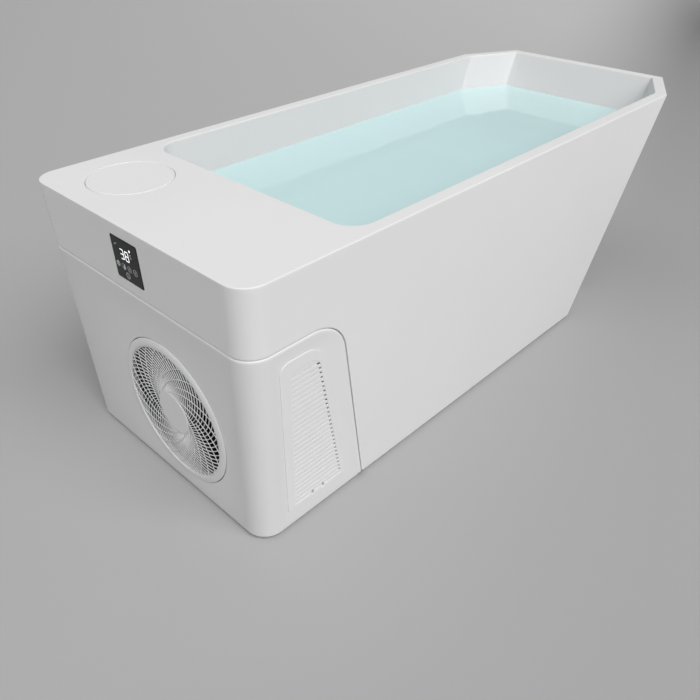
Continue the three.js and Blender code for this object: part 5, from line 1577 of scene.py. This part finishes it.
@dataclass(frozen=True)
class Studio:
    """Camera, floor and soft lights."""

    azimuth: float = -46.096
    elevation: float = 35.311
    position: tuple[float, float, float] = (-1.39898, -1.10944, 1.17129)
    lens: float = 36.0
    reach: float = 14.0
    # Painted light: the floor's grey ramp, darker at its start and paler towards the far end, stands in for uneven
    # studio light.
    floor_greys: tuple[float, float] = (0.35, 0.49)
    floor_start: tuple[float, float, float] = (-3.16, 1.72, 0.0)
    floor_turn: float = -28.6
    floor_span: float = 6.57
    # Painted shadow: a darker grey blended in a soft band along the tub's line, standing in for the tub's shadow on
    # the floor.
    painted_shadow_grey: float = 0.18
    painted_shadow_place: tuple[float, float, float] = (5.18, 1.18, 0.0)
    painted_shadow_turn: float = 20.7
    painted_shadow_size: tuple[float, float, float] = (12.0, 1.17, 1.0)
    world: float = 0.20
    mirrored: float = 0.30
    backdrop: float = 0.46
    suns: tuple[SoftSun, ...] = (
        SoftSun("key", 0.0, 48.0, 45.0, 1.96),
        SoftSun("top", -45.0, 60.0, 45.0, 0.76),
        SoftSun("fill", -42.0, 30.0, 45.0, 0.32),
        SoftSun("back", -135.0, 60.0, 45.0, 0.34),
    )

    def camera(self) -> None:
        """Makes the camera: back, right and up directions from azimuth and elevation."""
        data = bpy.data.cameras.new("camera")
        data.lens, data.sensor_width = self.lens, 36.0
        camera = bpy.data.objects.new("camera", data)
        a, e = math.radians(self.azimuth), math.radians(self.elevation)
        back = Vector((math.sin(a) * math.cos(e), -math.cos(a) * math.cos(e), math.sin(e)))
        right = Vector((math.cos(a), math.sin(a), 0.0))
        up = back.cross(right)
        turn = Matrix((right, up, back)).transposed().to_4x4()
        camera.matrix_world = Matrix.Translation(Vector(self.position)) @ turn
        bpy.context.scene.collection.objects.link(camera)
        bpy.context.scene.camera = camera

    def floor(self) -> None:
        """Makes the wide floor."""
        mesh = bpy.data.meshes.new("studio_floor")
        r = self.reach
        mesh.from_pydata([(-r, -r, 0), (r, -r, 0), (r, r, 0), (-r, r, 0)], [], [(0, 1, 2, 3)])
        floor = bpy.data.objects.new("studio_floor", mesh)
        bpy.context.scene.collection.objects.link(floor)
        mesh.materials.append(self._floor_finish())

    def _floor_finish(self) -> bpy.types.Material:
        """Matt grey with painted light that grows paler towards the far end, and a soft painted shadow band along
        the tub's line.

        Returns:
            The material.
        """
        material = bpy.data.materials.new("studio_floor")
        material.use_nodes = True
        tree = material.node_tree
        shader = tree.nodes["Principled BSDF"]
        shader.inputs["Roughness"].default_value = 0.6
        shader.inputs["Specular IOR Level"].default_value = 0.3
        # Painted light ramp and painted shadow band on the floor
        painted_light_slope = self._gradient(tree, "LINEAR", self.floor_start, self.floor_turn, (self.floor_span, 1.0, 1.0))
        painted_shadow = self._gradient(tree, "QUADRATIC_SPHERE", self.painted_shadow_place, self.painted_shadow_turn, self.painted_shadow_size)
        ramp = tree.nodes.new("ShaderNodeValToRGB")
        for tone, grey in zip(ramp.color_ramp.elements, self.floor_greys):
            tone.color = (grey, grey, grey, 1.0)
        tree.links.new(painted_light_slope.outputs["Fac"], ramp.inputs["Fac"])
        blend = tree.nodes.new("ShaderNodeMixRGB")
        blend.inputs["Color2"].default_value = (*(self.painted_shadow_grey,) * 3, 1.0)
        tree.links.new(painted_shadow.outputs["Fac"], blend.inputs["Fac"])
        tree.links.new(ramp.outputs["Color"], blend.inputs["Color1"])
        tree.links.new(blend.outputs["Color"], shader.inputs["Base Color"])
        return material

    @staticmethod
    def _gradient(tree: bpy.types.NodeTree, kind: str, place: tuple[float, float, float], turn: float,
                  size: tuple[float, float, float]) -> bpy.types.Node:
        """A gradient laid on the floor.

        Args:
            tree: Node tree to add it to.
            kind: Gradient type.
            place: Where it starts, or its middle.
            turn: Its direction in degrees from +X.
            size: Its length and width.

        Returns:
            The gradient node.
        """
        where = tree.nodes.new("ShaderNodeTexCoord")
        mapping = tree.nodes.new("ShaderNodeMapping")
        mapping.vector_type = "TEXTURE"
        mapping.inputs["Location"].default_value = place
        mapping.inputs["Rotation"].default_value = (0.0, 0.0, math.radians(turn))
        mapping.inputs["Scale"].default_value = size
        gradient = tree.nodes.new("ShaderNodeTexGradient")
        gradient.gradient_type = kind
        tree.links.new(where.outputs["Object"], mapping.inputs["Vector"])
        tree.links.new(mapping.outputs["Vector"], gradient.inputs["Vector"])
        return gradient

    def lights(self) -> None:
        """Makes the soft suns and the even surroundings, paler to the camera and in glossy surfaces."""
        world = bpy.data.worlds.new("studio_world")
        world.use_nodes = True
        tree = world.node_tree
        even = tree.nodes["Background"]
        even.inputs["Color"].default_value = (1.0, 1.0, 1.0, 1.0)
        even.inputs["Strength"].default_value = self.world
        path = tree.nodes.new("ShaderNodeLightPath")
        shown = even.outputs["Background"]
        for ray, strength in (("Is Glossy Ray", self.mirrored), ("Is Camera Ray", self.backdrop)):
            seen = tree.nodes.new("ShaderNodeBackground")
            seen.inputs["Color"].default_value = (1.0, 1.0, 1.0, 1.0)
            seen.inputs["Strength"].default_value = strength
            either = tree.nodes.new("ShaderNodeMixShader")
            tree.links.new(path.outputs[ray], either.inputs["Fac"])
            tree.links.new(shown, either.inputs[1])
            tree.links.new(seen.outputs["Background"], either.inputs[2])
            shown = either.outputs["Shader"]
        tree.links.new(shown, tree.nodes["World Output"].inputs["Surface"])
        bpy.context.scene.world = world
        for sun in self.suns:
            sun.make()


def main() -> None:
    """Builds the studio and every piece in order."""
    logging.basicConfig(level=logging.INFO, format="%(name)s: %(message)s")
    scene = bpy.context.scene
    scene.view_settings.view_transform = "Standard"
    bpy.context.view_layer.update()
    studio = Studio()
    studio.camera()
    studio.floor()
    studio.lights()
    palette = Palette()
    form = TubForm()
    Hardware().dress(palette)
    vent = VentPanel(form)
    TubMoulding(form).build(palette)
    MachineCover(form).build(palette, vent)
    FanGrille(form).build(palette)
    vent.build(palette, True)
    vent.build(palette, False)
    FilterLid(form).build(palette)
    ControlDisplay(form).build(palette)
    WaterFill(form).build(palette)


if __name__ == "__main__":
    main()
